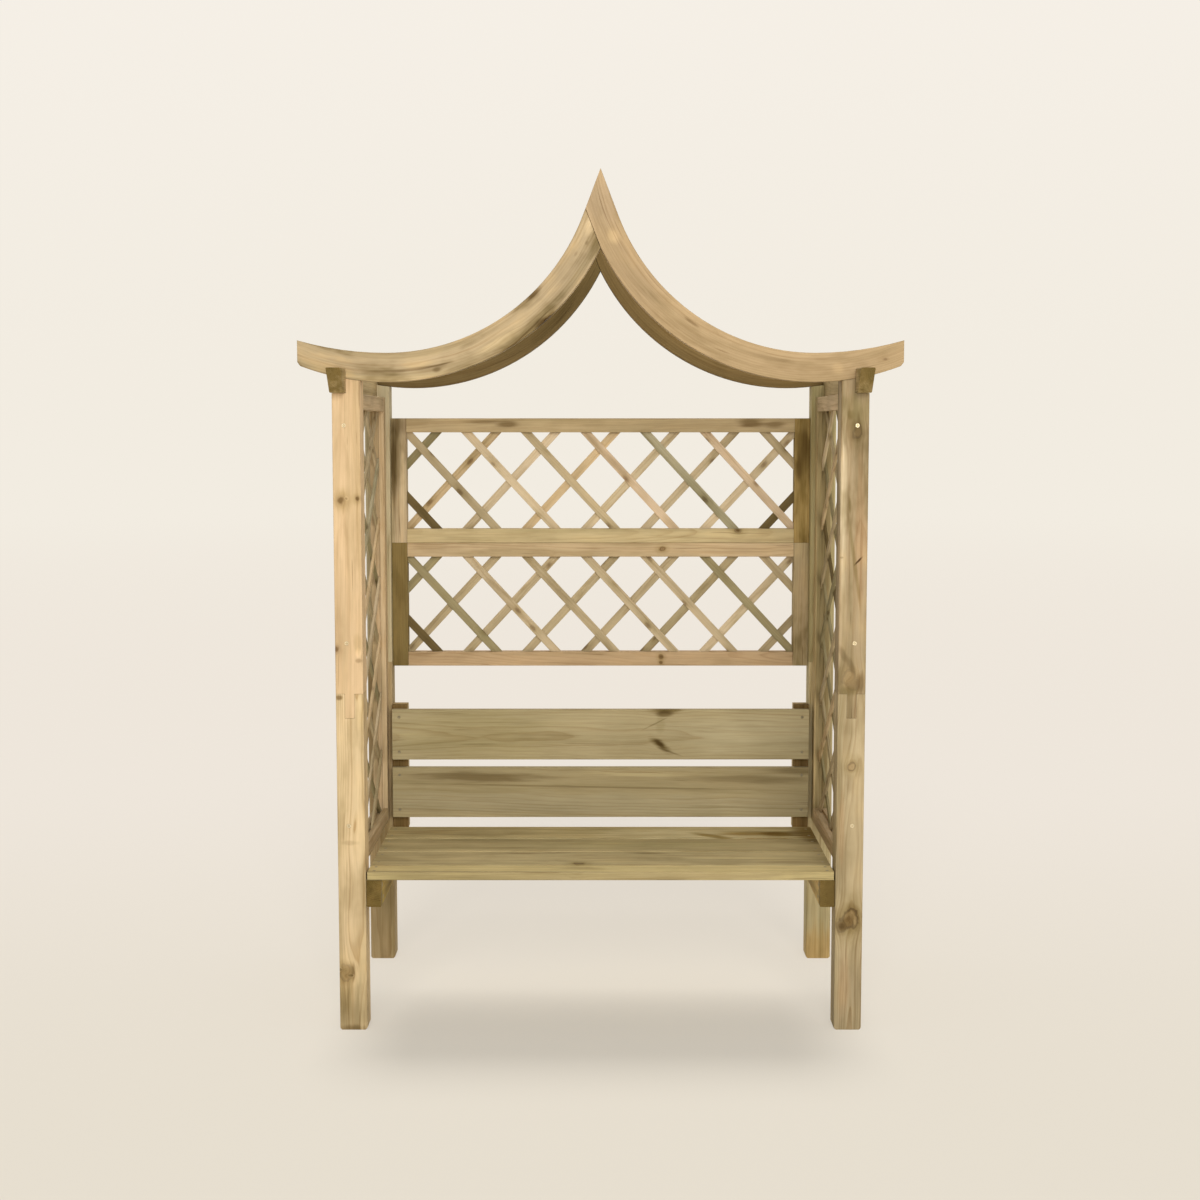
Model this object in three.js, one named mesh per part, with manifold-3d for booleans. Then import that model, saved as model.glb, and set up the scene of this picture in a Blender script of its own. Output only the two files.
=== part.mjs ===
// Arbour seat: a timber garden bench for two under an open ogee roof, with trellis sides and back.
// Millimetres, +X to the sitter's right as seen from the front, +Y to the back, +Z up.
// The origin is on the ground, midway between the posts. Left is -X and front is -Y.

import * as THREE from 'three';
import { mergeVertices } from 'three/addons/utils/BufferGeometryUtils.js';
import Module from 'manifold-3d';

// Posts
const postSize = 70;
const clearWidth = 1200; // between the inner faces of the left and right posts
const frameDepth = 700; // over the posts, front to back
const footChamfer = 5;
const shoulderHeight = 872; // ground to the shoulders of the bridle joint in each post
const tongueLength = 62;
const tongueWidth = 24;

// Roof
const rafterThickness = 44;
const rafterDepth = 72;
const valleyInset = 66; // lowest point of each rafter, inside the inner faces of the posts
const valleyHeight = 1656; // ground to the underside of the rafters there
const archRise = 330; // from there up to the underside at the apex
const tailRadius = 800; // upper edge, from the valley out to the tail
const tailReach = 84; // beyond the posts
const tailChamfer = 7;
const peakSlope = THREE.MathUtils.degToRad(69); // of the straight upper edge below the tip
const apexJointDrop = 98; // tip to the upper end of the joint between two rafters
const apexGap = 0.5; // measured along the edges of the left rafter

// Eaves rails
const eavesRailThickness = 35;
const eavesRailDepth = 60;
const eavesRailHousing = 24; // how far the rail is let into the rafters
const eavesToeReach = 38; // beyond the posts, lower edge
const eavesNoseReach = 95; // beyond the posts, upper edge

// Trellis panels
const panelThickness = 40;
const stileWidth = 44;
const panelRailWidth = 40;
const grooveDepth = 8;
const slatWidth = 23;
const slatThickness = 6;
const slatBite = 0.5; // the two layers of slats are pressed into each other this far
const slatHousing = 7; // slat ends inside the grooves
const diamondHalfWidth = 85.5;
const diamondHeightShare = 0.335; // half a diamond, of the opening of a rear panel
const sideDiamondWidthShare = 0.25; // half a diamond, of the opening of a side panel
const sideDiamondHalfHeight = 83.4;
const rearPanelHeadGap = 86; // upper rear panel below the valleys of the rafters
const rearPanelDrop = 14.3; // lower rear panel, lower edge below the shoulders of the posts
const sidePanelSetback = 11; // behind the inner faces of the posts
const sidePanelLift = 3; // above the seat boards

// Seat
const seatHeight = 412;
const seatBoardThickness = 22;
const seatBoardCount = 3; // full boards, behind the narrow front one
const frontBoardWidth = 70;
const seatBoardGap = 8;
const seatSetback = 6; // front board behind the front faces of the posts
const seatRearGap = 62.7; // last board to the backrest
const seatEndGap = 3;
const bearerThickness = 38;
const bearerDepth = 70;
const bearerSetback = 9; // each end, inside the outer faces of the posts
const cleatWidth = 44;
const cleatDepth = 22;
const cleatInset = 16; // its ends, inside the outer edges of the full boards

// Backrest
const backBoardWidth = 145;
const backBoardThickness = 22;
const backBoardGap = 23;
const backBoardLift = 14; // above the seat boards
const backEndGap = 2;
const battenWidth = 44;
const battenDepth = 44;
const battenProud = 10; // in front of the rear posts
const battenRise = 11; // above the upper back board

// Screws
const postScrewLength = 92;
const postScrewRadius = 2.6;
const postScrewHeadRadius = 5.5;
const postScrewOffset = 6; // outside the middle of the post
const postScrewEndDistance = 80; // below the top of the side panel
const postScrewShoulderRise = 129; // above the shoulders of the posts
const postScrewSeatRise = 121; // above the seat
const boardScrewLength = 45;
const boardScrewRadius = 2.2;
const boardScrewHeadRadius = 4.2;
const boardScrewEdgeDistance = 22;
const screwSink = 0.8; // heads below the surface
const screwSides = 8;

// Clearances and cuts
const fitGap = 0.3;
const cutOverrun = 5;
const curveSteps = 30;
const shortCurveSteps = 6;

// Timber tints and finish
const palePine = 0xdcc08f;
const warmPine = 0xc4a274;
const olivePine = 0xa08e66;
const seatPine = 0x978559;
const latticePine = 0xa58c64;
const zincSteel = 0x9c9282;
const sawnRoughness = 0.78;
const steelRoughness = 0.45;
const steelMetalness = 0.7;

// Places worked out from the sizes above
const postInner = clearWidth / 2;
const postOuter = postInner + postSize;
const postMiddle = postInner + postSize / 2;
const frontFace = -frameDepth / 2;
const rearFace = frameDepth / 2;
const valleyOffset = postInner - valleyInset;
const roofHalfSpan = postOuter + tailReach;
const undersideRadius = (valleyOffset ** 2 + archRise ** 2) / (2 * archRise);
const arcCentreHeight = valleyHeight + undersideRadius;
const upperRadius = undersideRadius - rafterDepth;
const straightReach = Math.max(0, valleyOffset - upperRadius * Math.sin(peakSlope));
const tipHeight = upperHeightAt(straightReach) + straightReach * Math.tan(peakSlope);
const jointReach = apexJointDrop / Math.tan(peakSlope);
const railOuter = postOuter;
const railInner = postOuter - eavesRailThickness;
const railTop = undersideHeightAt(railInner) + eavesRailHousing;
const railBottom = railTop - eavesRailDepth;
const sidePanelBottom = seatHeight + sidePanelLift;
const sidePanelTop = railBottom - fitGap;
const sidePanelInner = postInner + sidePanelSetback;
const rearPanelTop = valleyHeight - rearPanelHeadGap;
const rearPanelBottom = shoulderHeight - rearPanelDrop;
const rearPanelHeight = (rearPanelTop - rearPanelBottom - fitGap) / 2;

// Half a diamond each way, and the slant of the slats in the front layer, 1 where they rise.
const rearWeave = {
  halfWidth: diamondHalfWidth,
  halfHeight: (rearPanelHeight - 2 * panelRailWidth) * diamondHeightShare,
  front: -1,
};
const sideWeave = {
  halfWidth: (frameDepth - 2 * postSize - 2 * fitGap - 2 * stileWidth) * sideDiamondWidthShare,
  halfHeight: sideDiamondHalfHeight,
  front: 1,
};
const boardUnderside = seatHeight - seatBoardThickness;
const battenFront = rearFace - postSize - battenProud;
const backBoardFront = battenFront - fitGap - backBoardThickness;
const seatFront = frontFace + seatSetback;
const seatBack = backBoardFront - seatRearGap;
const fullBoardsFront = seatFront + frontBoardWidth + seatBoardGap;
const seatBoardPitch = (seatBack + seatBoardGap - fullBoardsFront) / seatBoardCount;
const lowerBackBoardBottom = seatHeight + backBoardLift;
const upperBackBoardBottom = lowerBackBoardBottom + backBoardWidth + backBoardGap;
const backBoardHalfLength = postInner - backEndGap;

const wasm = await Module();
wasm.setup();

const arbour = new THREE.Group();

function timber(tint) {
  return new THREE.MeshStandardMaterial({ color: tint, roughness: sawnRoughness, metalness: 0 });
}

function steel() {
  return new THREE.MeshStandardMaterial({
    color: zincSteel,
    roughness: steelRoughness,
    metalness: steelMetalness,
  });
}

function addMesh(parent, name, geometry, material) {
  const mesh = new THREE.Mesh(geometry, material);
  mesh.name = name;
  parent.add(mesh);
  return mesh;
}

function points(pairs) {
  return pairs.map(([a, b]) => new THREE.Vector2(a, b));
}

function extruded(outline, depth) {
  return new THREE.ExtrudeGeometry(new THREE.Shape(outline), { depth, bevelEnabled: false, steps: 1 });
}

// An outline of [x, z] points between two places along Y.
function prismAlongY(outline, front, back) {
  const geometry = extruded(outline, back - front);
  geometry.rotateX(Math.PI / 2);
  return geometry.translate(0, back, 0);
}

// An outline of [y, z] points between two places along X.
function prismAlongX(outline, left, right) {
  const geometry = extruded(outline, right - left);
  const axes = [[0, 1, 0], [0, 0, 1], [1, 0, 0]].map((axis) => new THREE.Vector3(...axis));
  geometry.applyMatrix4(new THREE.Matrix4().makeBasis(...axes));
  return geometry.translate(left, 0, 0);
}

// An outline of [x, y] points between two heights.
function prismAlongZ(outline, bottom, top) {
  return extruded(outline, top - bottom).translate(0, 0, bottom);
}

function box(left, right, front, back, bottom, top) {
  const geometry = new THREE.BoxGeometry(right - left, back - front, top - bottom);
  return geometry.translate((left + right) / 2, (front + back) / 2, (bottom + top) / 2);
}

function toSolid(geometry) {
  const bare = geometry.clone();
  bare.deleteAttribute('normal');
  bare.deleteAttribute('uv');
  const merged = mergeVertices(bare);
  const vertProperties = new Float32Array(merged.attributes.position.array);
  const triVerts = new Uint32Array(merged.index.array);
  return new wasm.Manifold(new wasm.Mesh({ numProp: 3, vertProperties, triVerts }));
}

function toGeometry(solid) {
  const { vertProperties, triVerts } = solid.getMesh();
  const geometry = new THREE.BufferGeometry();
  geometry.setAttribute('position', new THREE.BufferAttribute(new Float32Array(vertProperties), 3));
  geometry.setIndex(new THREE.BufferAttribute(new Uint32Array(triVerts), 1));
  geometry.computeVertexNormals();
  return geometry;
}

function cutFrom(geometry, cutters) {
  const cut = cutters.reduce((solid, cutter) => solid.subtract(toSolid(cutter)), toSolid(geometry));
  return toGeometry(cut);
}

// Height of the rafters' underside, one round arc on each side of the arbour.
function undersideHeightAt(offset) {
  return arcCentreHeight - Math.sqrt(undersideRadius ** 2 - (offset - valleyOffset) ** 2);
}

// Height of their upper edge on the arc above it, from the valley in to the straight top.
function upperHeightAt(offset) {
  return arcCentreHeight - Math.sqrt(upperRadius ** 2 - (offset - valleyOffset) ** 2);
}

function undersideArc(from, to, steps) {
  const angleAt = (offset) => Math.asin((offset - valleyOffset) / undersideRadius);
  return Array.from({ length: steps + 1 }, (_, i) => {
    const angle = THREE.MathUtils.lerp(angleAt(from), angleAt(to), i / steps);
    return [
      valleyOffset + undersideRadius * Math.sin(angle),
      arcCentreHeight - undersideRadius * Math.cos(angle),
    ];
  });
}

// Upper edge of a rafter from the foot of its straight top, through the valley, out to the tail.
function upperEdge(from) {
  const valleyTop = valleyHeight + rafterDepth;
  const start = Math.max(from, straightReach);
  const startAngle = Math.asin((valleyOffset - start) / upperRadius);
  const main = Array.from({ length: curveSteps + 1 }, (_, i) => {
    const angle = startAngle * (1 - i / curveSteps);
    return [
      valleyOffset - upperRadius * Math.sin(angle),
      arcCentreHeight - upperRadius * Math.cos(angle),
    ];
  });
  const tailAngle = Math.asin((roofHalfSpan - valleyOffset) / tailRadius);
  const tail = Array.from({ length: shortCurveSteps }, (_, i) => {
    const angle = (tailAngle * (i + 1)) / shortCurveSteps;
    return [
      valleyOffset + tailRadius * Math.sin(angle),
      valleyTop + tailRadius * (1 - Math.cos(angle)),
    ];
  });
  return [...main, ...tail];
}

// Underside from the tail back to the apex, notched where the rafter sits over the eaves rail.
function lowerEdge(apexStart) {
  const tailEdge = undersideArc(roofHalfSpan - tailChamfer, railOuter + fitGap, shortCurveSteps);
  const notch = [
    [railOuter + fitGap, railTop + fitGap],
    [railInner - fitGap, railTop + fitGap],
  ];
  const inner = undersideArc(railInner - fitGap, apexStart, curveSteps);
  const tailCorner = [roofHalfSpan, undersideHeightAt(roofHalfSpan) + tailChamfer];
  return [tailCorner, ...tailEdge, ...notch, ...inner];
}

// The right rafter runs through to the tip of the roof.
function throughRafterOutline() {
  const tip = [0, tipHeight];
  const jointTop = [-jointReach, tipHeight - apexJointDrop];
  return [tip, ...upperEdge(0), ...lowerEdge(0), jointTop];
}

// The left rafter butts against it, so its outline (drawn on the right) starts at the joint.
function buttRafterOutline() {
  const jointTop = [
    jointReach + apexGap * Math.cos(peakSlope),
    tipHeight - apexJointDrop - apexGap * Math.sin(peakSlope),
  ];
  return [jointTop, ...upperEdge(jointTop[0] + apexGap), ...lowerEdge(apexGap)];
}

function mirrored(outline) {
  return outline.map(([x, z]) => [-x, z]).reverse();
}

function addRafters() {
  const pairs = [
    ['front', frontFace, frontFace + rafterThickness],
    ['rear', rearFace - rafterThickness, rearFace],
  ];
  for (const [end, front, back] of pairs) {
    const through = prismAlongY(points(throughRafterOutline()), front, back);
    addMesh(arbour, `${end}_right_rafter`, through, timber(warmPine));
    const butt = prismAlongY(points(mirrored(buttRafterOutline())), front, back);
    addMesh(arbour, `${end}_left_rafter`, butt, timber(palePine));
  }
}

// Both rails run front to back, with undercut ends that stand out past the posts.
function addEavesRails() {
  const noseReach = frameDepth / 2 + eavesNoseReach;
  const toeReach = frameDepth / 2 + eavesToeReach;
  const outline = points([
    [-toeReach, railBottom],
    [toeReach, railBottom],
    [noseReach, railTop],
    [-noseReach, railTop],
  ]);
  addMesh(arbour, 'left_eaves_rail', prismAlongX(outline, -railOuter, -railInner), timber(olivePine));
  addMesh(arbour, 'right_eaves_rail', prismAlongX(outline, railInner, railOuter), timber(olivePine));
}

// The lower length of a post, slotted at its head to take the tongue of the upper length.
function lowerPostOutline() {
  const slotHalf = tongueWidth / 2 + fitGap;
  const slotFloor = shoulderHeight - tongueLength;
  return [
    [postInner + footChamfer, 0],
    [postOuter - footChamfer, 0],
    [postOuter, footChamfer],
    [postOuter, shoulderHeight],
    [postMiddle + slotHalf, shoulderHeight],
    [postMiddle + slotHalf, slotFloor],
    [postMiddle - slotHalf, slotFloor],
    [postMiddle - slotHalf, shoulderHeight],
    [postInner, shoulderHeight],
    [postInner, footChamfer],
  ];
}

// The upper length: its outer half is cut down for the eaves rail, its inner half meets the rafter.
function upperPostOutline() {
  const tongueHalf = tongueWidth / 2;
  const shoulder = shoulderHeight + fitGap;
  const tongueEnd = shoulderHeight - tongueLength + fitGap;
  const head = undersideArc(railInner - fitGap, postInner, shortCurveSteps);
  return [
    [postMiddle - tongueHalf, tongueEnd],
    [postMiddle + tongueHalf, tongueEnd],
    [postMiddle + tongueHalf, shoulder],
    [postOuter, shoulder],
    [postOuter, railBottom - fitGap],
    [railInner - fitGap, railBottom - fitGap],
    ...head.map(([x, z]) => [x, z - fitGap]),
    [postInner, shoulder],
    [postMiddle - tongueHalf, shoulder],
  ];
}

const sides = [
  { side: 'left', sign: -1, tint: palePine },
  { side: 'right', sign: 1, tint: warmPine },
];

// A screw along +Y: its head faces the front and starts at the origin. A grown one cuts its hole.
function screwGeometry(length, radius, headRadius, growth) {
  const headDepth = headRadius - radius;
  const top = growth > 0 ? -cutOverrun : 0;
  const profile = points([
    [0, top],
    [headRadius + growth, top],
    [headRadius + growth, growth],
    [radius + growth, headDepth + growth],
    [radius + growth, length - 2 * radius],
    [0, length + growth],
  ]);
  return new THREE.LatheGeometry(profile, screwSides);
}

function postScrews(sign) {
  const heights = {
    top: sidePanelTop - postScrewEndDistance,
    middle: shoulderHeight + postScrewShoulderRise,
    low: seatHeight + postScrewSeatRise,
  };
  const sizes = [postScrewLength, postScrewRadius, postScrewHeadRadius];
  const x = sign * (postMiddle + postScrewOffset);
  return Object.entries(heights).map(([name, height]) => ({
    name,
    place: [x, frontFace + screwSink, height],
    sizes,
  }));
}

function placedScrew(screw, growth) {
  return screwGeometry(...screw.sizes, growth).translate(...screw.place);
}

function addScrew(name, screw) {
  addMesh(arbour, name, placedScrew(screw, 0), steel());
}

function addPosts() {
  for (const { side, sign, tint } of sides) {
    const screws = postScrews(sign);
    const holes = screws.map((screw) => placedScrew(screw, fitGap));
    const places = [['front', frontFace], ['rear', rearFace - postSize]];
    for (const [end, front] of places) {
      for (const [length, outline] of [['lower', lowerPostOutline()], ['upper', upperPostOutline()]]) {
        const turned = sign > 0 ? outline : mirrored(outline);
        const plain = prismAlongY(points(turned), front, front + postSize);
        const geometry = end === 'front' ? cutFrom(plain, holes) : plain;
        addMesh(arbour, `${end}_${side}_post_${length}`, geometry, timber(tint));
      }
    }
    for (const screw of screws) {
      addScrew(`front_${side}_post_screw_${screw.name}`, screw);
    }
  }
}

// Trellis panel in its own frame: x along its width, y from its face to its back, z up from its
// lower edge. The frame is grooved round the inside, and the slats' ends sit in the groove.

function grooveHalf() {
  return slatThickness - slatBite / 2 + fitGap;
}

// Channel section of a frame member that lies from `edge` towards `inside` along one axis.
function channelOutline(edge, inside) {
  const middle = panelThickness / 2;
  const floor = inside - Math.sign(inside - edge) * grooveDepth;
  const ring = [
    [edge, 0],
    [inside, 0],
    [inside, middle - grooveHalf()],
    [floor, middle - grooveHalf()],
    [floor, middle + grooveHalf()],
    [inside, middle + grooveHalf()],
    [inside, panelThickness],
    [edge, panelThickness],
  ];
  return inside > edge ? ring : ring.reverse();
}

// Slats through every crossing of one slant, clipped to the opening and its groove.
function slatLayer(weave, slant, width, height, front) {
  const halfColumns = width / 2 / weave.halfWidth;
  const halfRows = height / 2 / weave.halfHeight;
  const reach = Math.floor(halfColumns + halfRows);
  const length = Math.hypot(width, height) * 2;
  const angle = Math.atan2(weave.halfHeight, weave.halfWidth) * slant;
  const slats = [];
  for (let line = -reach; line <= reach; line += 1) {
    if (line % 2 === 0) continue;
    const slat = new THREE.BoxGeometry(length, slatThickness, slatWidth);
    slat.rotateY(-angle);
    slat.translate(line * weave.halfWidth, front + slatThickness / 2, height / 2);
    slats.push(toSolid(slat));
  }
  return slats;
}

function latticeGeometry(weave, openWidth, openHeight) {
  const overlap = slatBite / 2;
  const middle = panelThickness / 2;
  const frontLayer = middle - slatThickness + overlap;
  const backLayer = middle - overlap;
  const slats = [
    ...slatLayer(weave, weave.front, openWidth, openHeight, frontLayer),
    ...slatLayer(weave, -weave.front, openWidth, openHeight, backLayer),
  ];
  const joined = slats.reduce((all, slat) => all.add(slat));
  const clip = box(
    -openWidth / 2 - slatHousing,
    openWidth / 2 + slatHousing,
    0,
    panelThickness,
    -slatHousing,
    openHeight + slatHousing,
  );
  return toGeometry(joined.intersect(toSolid(clip)));
}

function trellisPanel(name, weave, width, height, ends, tint) {
  const panel = new THREE.Group();
  const openWidth = width - 2 * stileWidth;
  const openHeight = height - 2 * panelRailWidth;
  const half = width / 2;
  const stileInside = openWidth / 2;
  const stiles = [
    [ends[0], channelOutline(-half, -stileInside)],
    [ends[1], channelOutline(half, stileInside)],
  ];
  for (const [end, outline] of stiles) {
    addMesh(panel, `${name}_${end}_stile`, prismAlongZ(points(outline), 0, height), timber(tint));
  }
  const rails = [
    ['bottom', channelOutline(0, panelRailWidth)],
    ['top', channelOutline(height, height - panelRailWidth)],
  ];
  for (const [end, outline] of rails) {
    const upright = outline.map(([z, y]) => [y, z]).reverse();
    const rail = prismAlongX(points(upright), -stileInside + fitGap, stileInside - fitGap);
    addMesh(panel, `${name}_${end}_rail`, rail, timber(tint));
  }
  const lattice = latticeGeometry(weave, openWidth, openHeight).translate(0, 0, panelRailWidth);
  addMesh(panel, `${name}_lattice`, lattice, timber(latticePine));
  arbour.add(panel);
  return panel;
}

function addSidePanels() {
  const width = frameDepth - 2 * postSize - 2 * fitGap;
  const height = sidePanelTop - sidePanelBottom;
  for (const { side, sign, tint } of sides) {
    const ends = sign > 0 ? ['rear', 'front'] : ['front', 'rear'];
    const panel = trellisPanel(`${side}_side_panel`, sideWeave, width, height, ends, tint);
    panel.position.set(sign * sidePanelInner, 0, sidePanelBottom);
    panel.rotation.z = (-sign * Math.PI) / 2;
    drillFrontStile(panel, `${side}_side_panel_front_stile`, postScrews(sign));
  }
}

// The post screws end in the front stile of the side panel behind the post.
function drillFrontStile(panel, name, screws) {
  panel.updateMatrixWorld(true);
  const stile = panel.getObjectByName(name);
  const toPanel = panel.matrixWorld.clone().invert();
  const holes = screws.map((screw) => placedScrew(screw, fitGap).applyMatrix4(toPanel));
  stile.geometry = cutFrom(stile.geometry, holes);
}

function addRearPanels() {
  const width = clearWidth - 2 * fitGap;
  const face = rearFace - panelThickness;
  const bottoms = { upper: rearPanelTop - rearPanelHeight, lower: rearPanelBottom };
  for (const [level, bottom] of Object.entries(bottoms)) {
    const ends = ['left', 'right'];
    const panel = trellisPanel(`${level}_rear_panel`, rearWeave, width, rearPanelHeight, ends, warmPine);
    panel.position.set(0, face, bottom);
  }
}

function addSeat() {
  const halfLength = postInner - seatEndGap;
  const board = (front, back) => box(-halfLength, halfLength, front, back, boardUnderside, seatHeight);
  const frontBoard = board(seatFront, seatFront + frontBoardWidth);
  addMesh(arbour, 'seat_front_board', frontBoard, timber(olivePine));
  for (let i = 0; i < seatBoardCount; i += 1) {
    const front = fullBoardsFront + i * seatBoardPitch;
    const fullBoard = board(front, front + seatBoardPitch - seatBoardGap);
    addMesh(arbour, `seat_board_${i + 1}`, fullBoard, timber(seatPine));
  }
  const top = boardUnderside - fitGap;
  const cleat = box(
    -cleatWidth / 2,
    cleatWidth / 2,
    fullBoardsFront + cleatInset,
    seatBack - cleatInset,
    top - cleatDepth,
    top,
  );
  addMesh(arbour, 'seat_centre_cleat', cleat, timber(seatPine));
  for (const { side, sign } of sides) {
    const outer = sign * (postInner - fitGap);
    const inner = sign * (postInner - fitGap - bearerThickness);
    const bearer = box(
      Math.min(outer, inner),
      Math.max(outer, inner),
      frontFace + bearerSetback,
      rearFace - bearerSetback,
      top - bearerDepth,
      top,
    );
    addMesh(arbour, `${side}_seat_bearer`, bearer, timber(olivePine));
  }
}

function boardScrews(bottom, sign) {
  const heights = [
    ['upper', bottom + backBoardWidth - boardScrewEdgeDistance],
    ['lower', bottom + boardScrewEdgeDistance],
  ];
  const x = sign * (postInner - battenWidth / 2);
  const sizes = [boardScrewLength, boardScrewRadius, boardScrewHeadRadius];
  return heights.map(([name, height]) => ({
    name,
    place: [x, backBoardFront + screwSink, height],
    sizes,
  }));
}

function addBackrest() {
  const boards = [['lower', lowerBackBoardBottom], ['upper', upperBackBoardBottom]];
  for (const [level, bottom] of boards) {
    const top = bottom + backBoardWidth;
    const back = backBoardFront + backBoardThickness;
    const plain = box(-backBoardHalfLength, backBoardHalfLength, backBoardFront, back, bottom, top);
    const screws = sides.flatMap(({ sign }) => boardScrews(bottom, sign));
    const holes = screws.map((screw) => placedScrew(screw, fitGap));
    addMesh(arbour, `${level}_back_board`, cutFrom(plain, holes), timber(olivePine));
  }
  for (const { side, sign } of sides) {
    const outer = sign * (postInner - fitGap);
    const inner = sign * (postInner - battenWidth);
    const plain = box(
      Math.min(outer, inner),
      Math.max(outer, inner),
      battenFront,
      battenFront + battenDepth,
      boardUnderside,
      upperBackBoardBottom + backBoardWidth + battenRise,
    );
    const screws = boards.flatMap(([level, bottom]) =>
      boardScrews(bottom, sign).map((screw) => ({ ...screw, level })));
    const holes = screws.map((screw) => placedScrew(screw, fitGap));
    addMesh(arbour, `${side}_back_batten`, cutFrom(plain, holes), timber(seatPine));
    for (const screw of screws) {
      addScrew(`${screw.level}_back_board_screw_${side}_${screw.name}`, screw);
    }
  }
}

addPosts();
addEavesRails();
addRafters();
addSidePanels();
addRearPanels();
addSeat();
addBackrest();

export default arbour;
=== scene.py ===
import math
import random

import bmesh
import bpy
from mathutils import Matrix, Vector


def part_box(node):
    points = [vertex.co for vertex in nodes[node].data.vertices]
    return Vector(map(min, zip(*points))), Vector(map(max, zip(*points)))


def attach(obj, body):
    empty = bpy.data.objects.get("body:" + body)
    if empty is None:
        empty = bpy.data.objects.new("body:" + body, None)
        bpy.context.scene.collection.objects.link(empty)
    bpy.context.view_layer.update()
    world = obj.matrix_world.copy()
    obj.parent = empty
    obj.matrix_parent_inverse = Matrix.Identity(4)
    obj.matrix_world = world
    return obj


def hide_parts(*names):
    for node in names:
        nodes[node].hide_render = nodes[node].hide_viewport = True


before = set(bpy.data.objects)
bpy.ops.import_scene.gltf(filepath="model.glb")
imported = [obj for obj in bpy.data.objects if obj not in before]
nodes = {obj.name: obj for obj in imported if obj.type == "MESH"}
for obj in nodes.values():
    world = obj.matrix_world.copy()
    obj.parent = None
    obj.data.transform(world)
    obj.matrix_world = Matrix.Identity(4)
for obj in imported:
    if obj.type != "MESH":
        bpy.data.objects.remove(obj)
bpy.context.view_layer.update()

# An arbour seat of pressure-treated pine. Metres throughout: +X to the right as seen from the
# front, +Y to the back, +Z up, the ground at Z 0.

MM = 0.001

# Eased edges
WELD = 0.01 * MM
FLAT = math.radians(0.6)
CORNER = math.radians(50)
FACET = math.radians(12)
WITH_GRAIN = 0.9  # least cosine between an arris and the grain
SHORT_EDGE = 3.2 * MM
EASE = 2.5  # in mm, where a look gives none
CUT_EASE = 0.7 * MM
EASE_SEGMENTS = 2

# Rafters: their grain runs round the centre of the curve
CURVE_OFFSET = 0.534
CURVE_HEIGHT = 2.253
CURVE_RADIUS = 0.561

# Grain: across, across and along it
AXES = {"x": (1, 2, 0), "y": (0, 2, 1), "z": (0, 1, 2)}
ACROSS = (1, 1, 0)
HALF = (0.5, 0.5, 0.5)
GRAIN_SHIFT = (2, 40)
GRAIN_TILT = 0.02
NO_KNOT = 9.0  # a distance from knots at which they don't show
END_START = 0.45  # cosine between the grain and a face's normal at which the face looks sawn across
END_SPAN = 0.35
WOOD_SHEEN = 0.08

# Knots: how far they push the grain aside, and how soon that fades
KNOT_PUSH = 0.8
KNOT_FADE = 0.24


def colour(red, green, blue):
    """A colour given as 8-bit sRGB, as the linear one that Blender uses."""
    def linear(value):
        value /= 255
        return value / 12.92 if value <= 0.04045 else ((value + 0.055) / 1.055) ** 2.4
    return (linear(red), linear(green), linear(blue), 1.0)


def clamped(value):
    return min(1.0, max(0.0, value))


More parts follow.
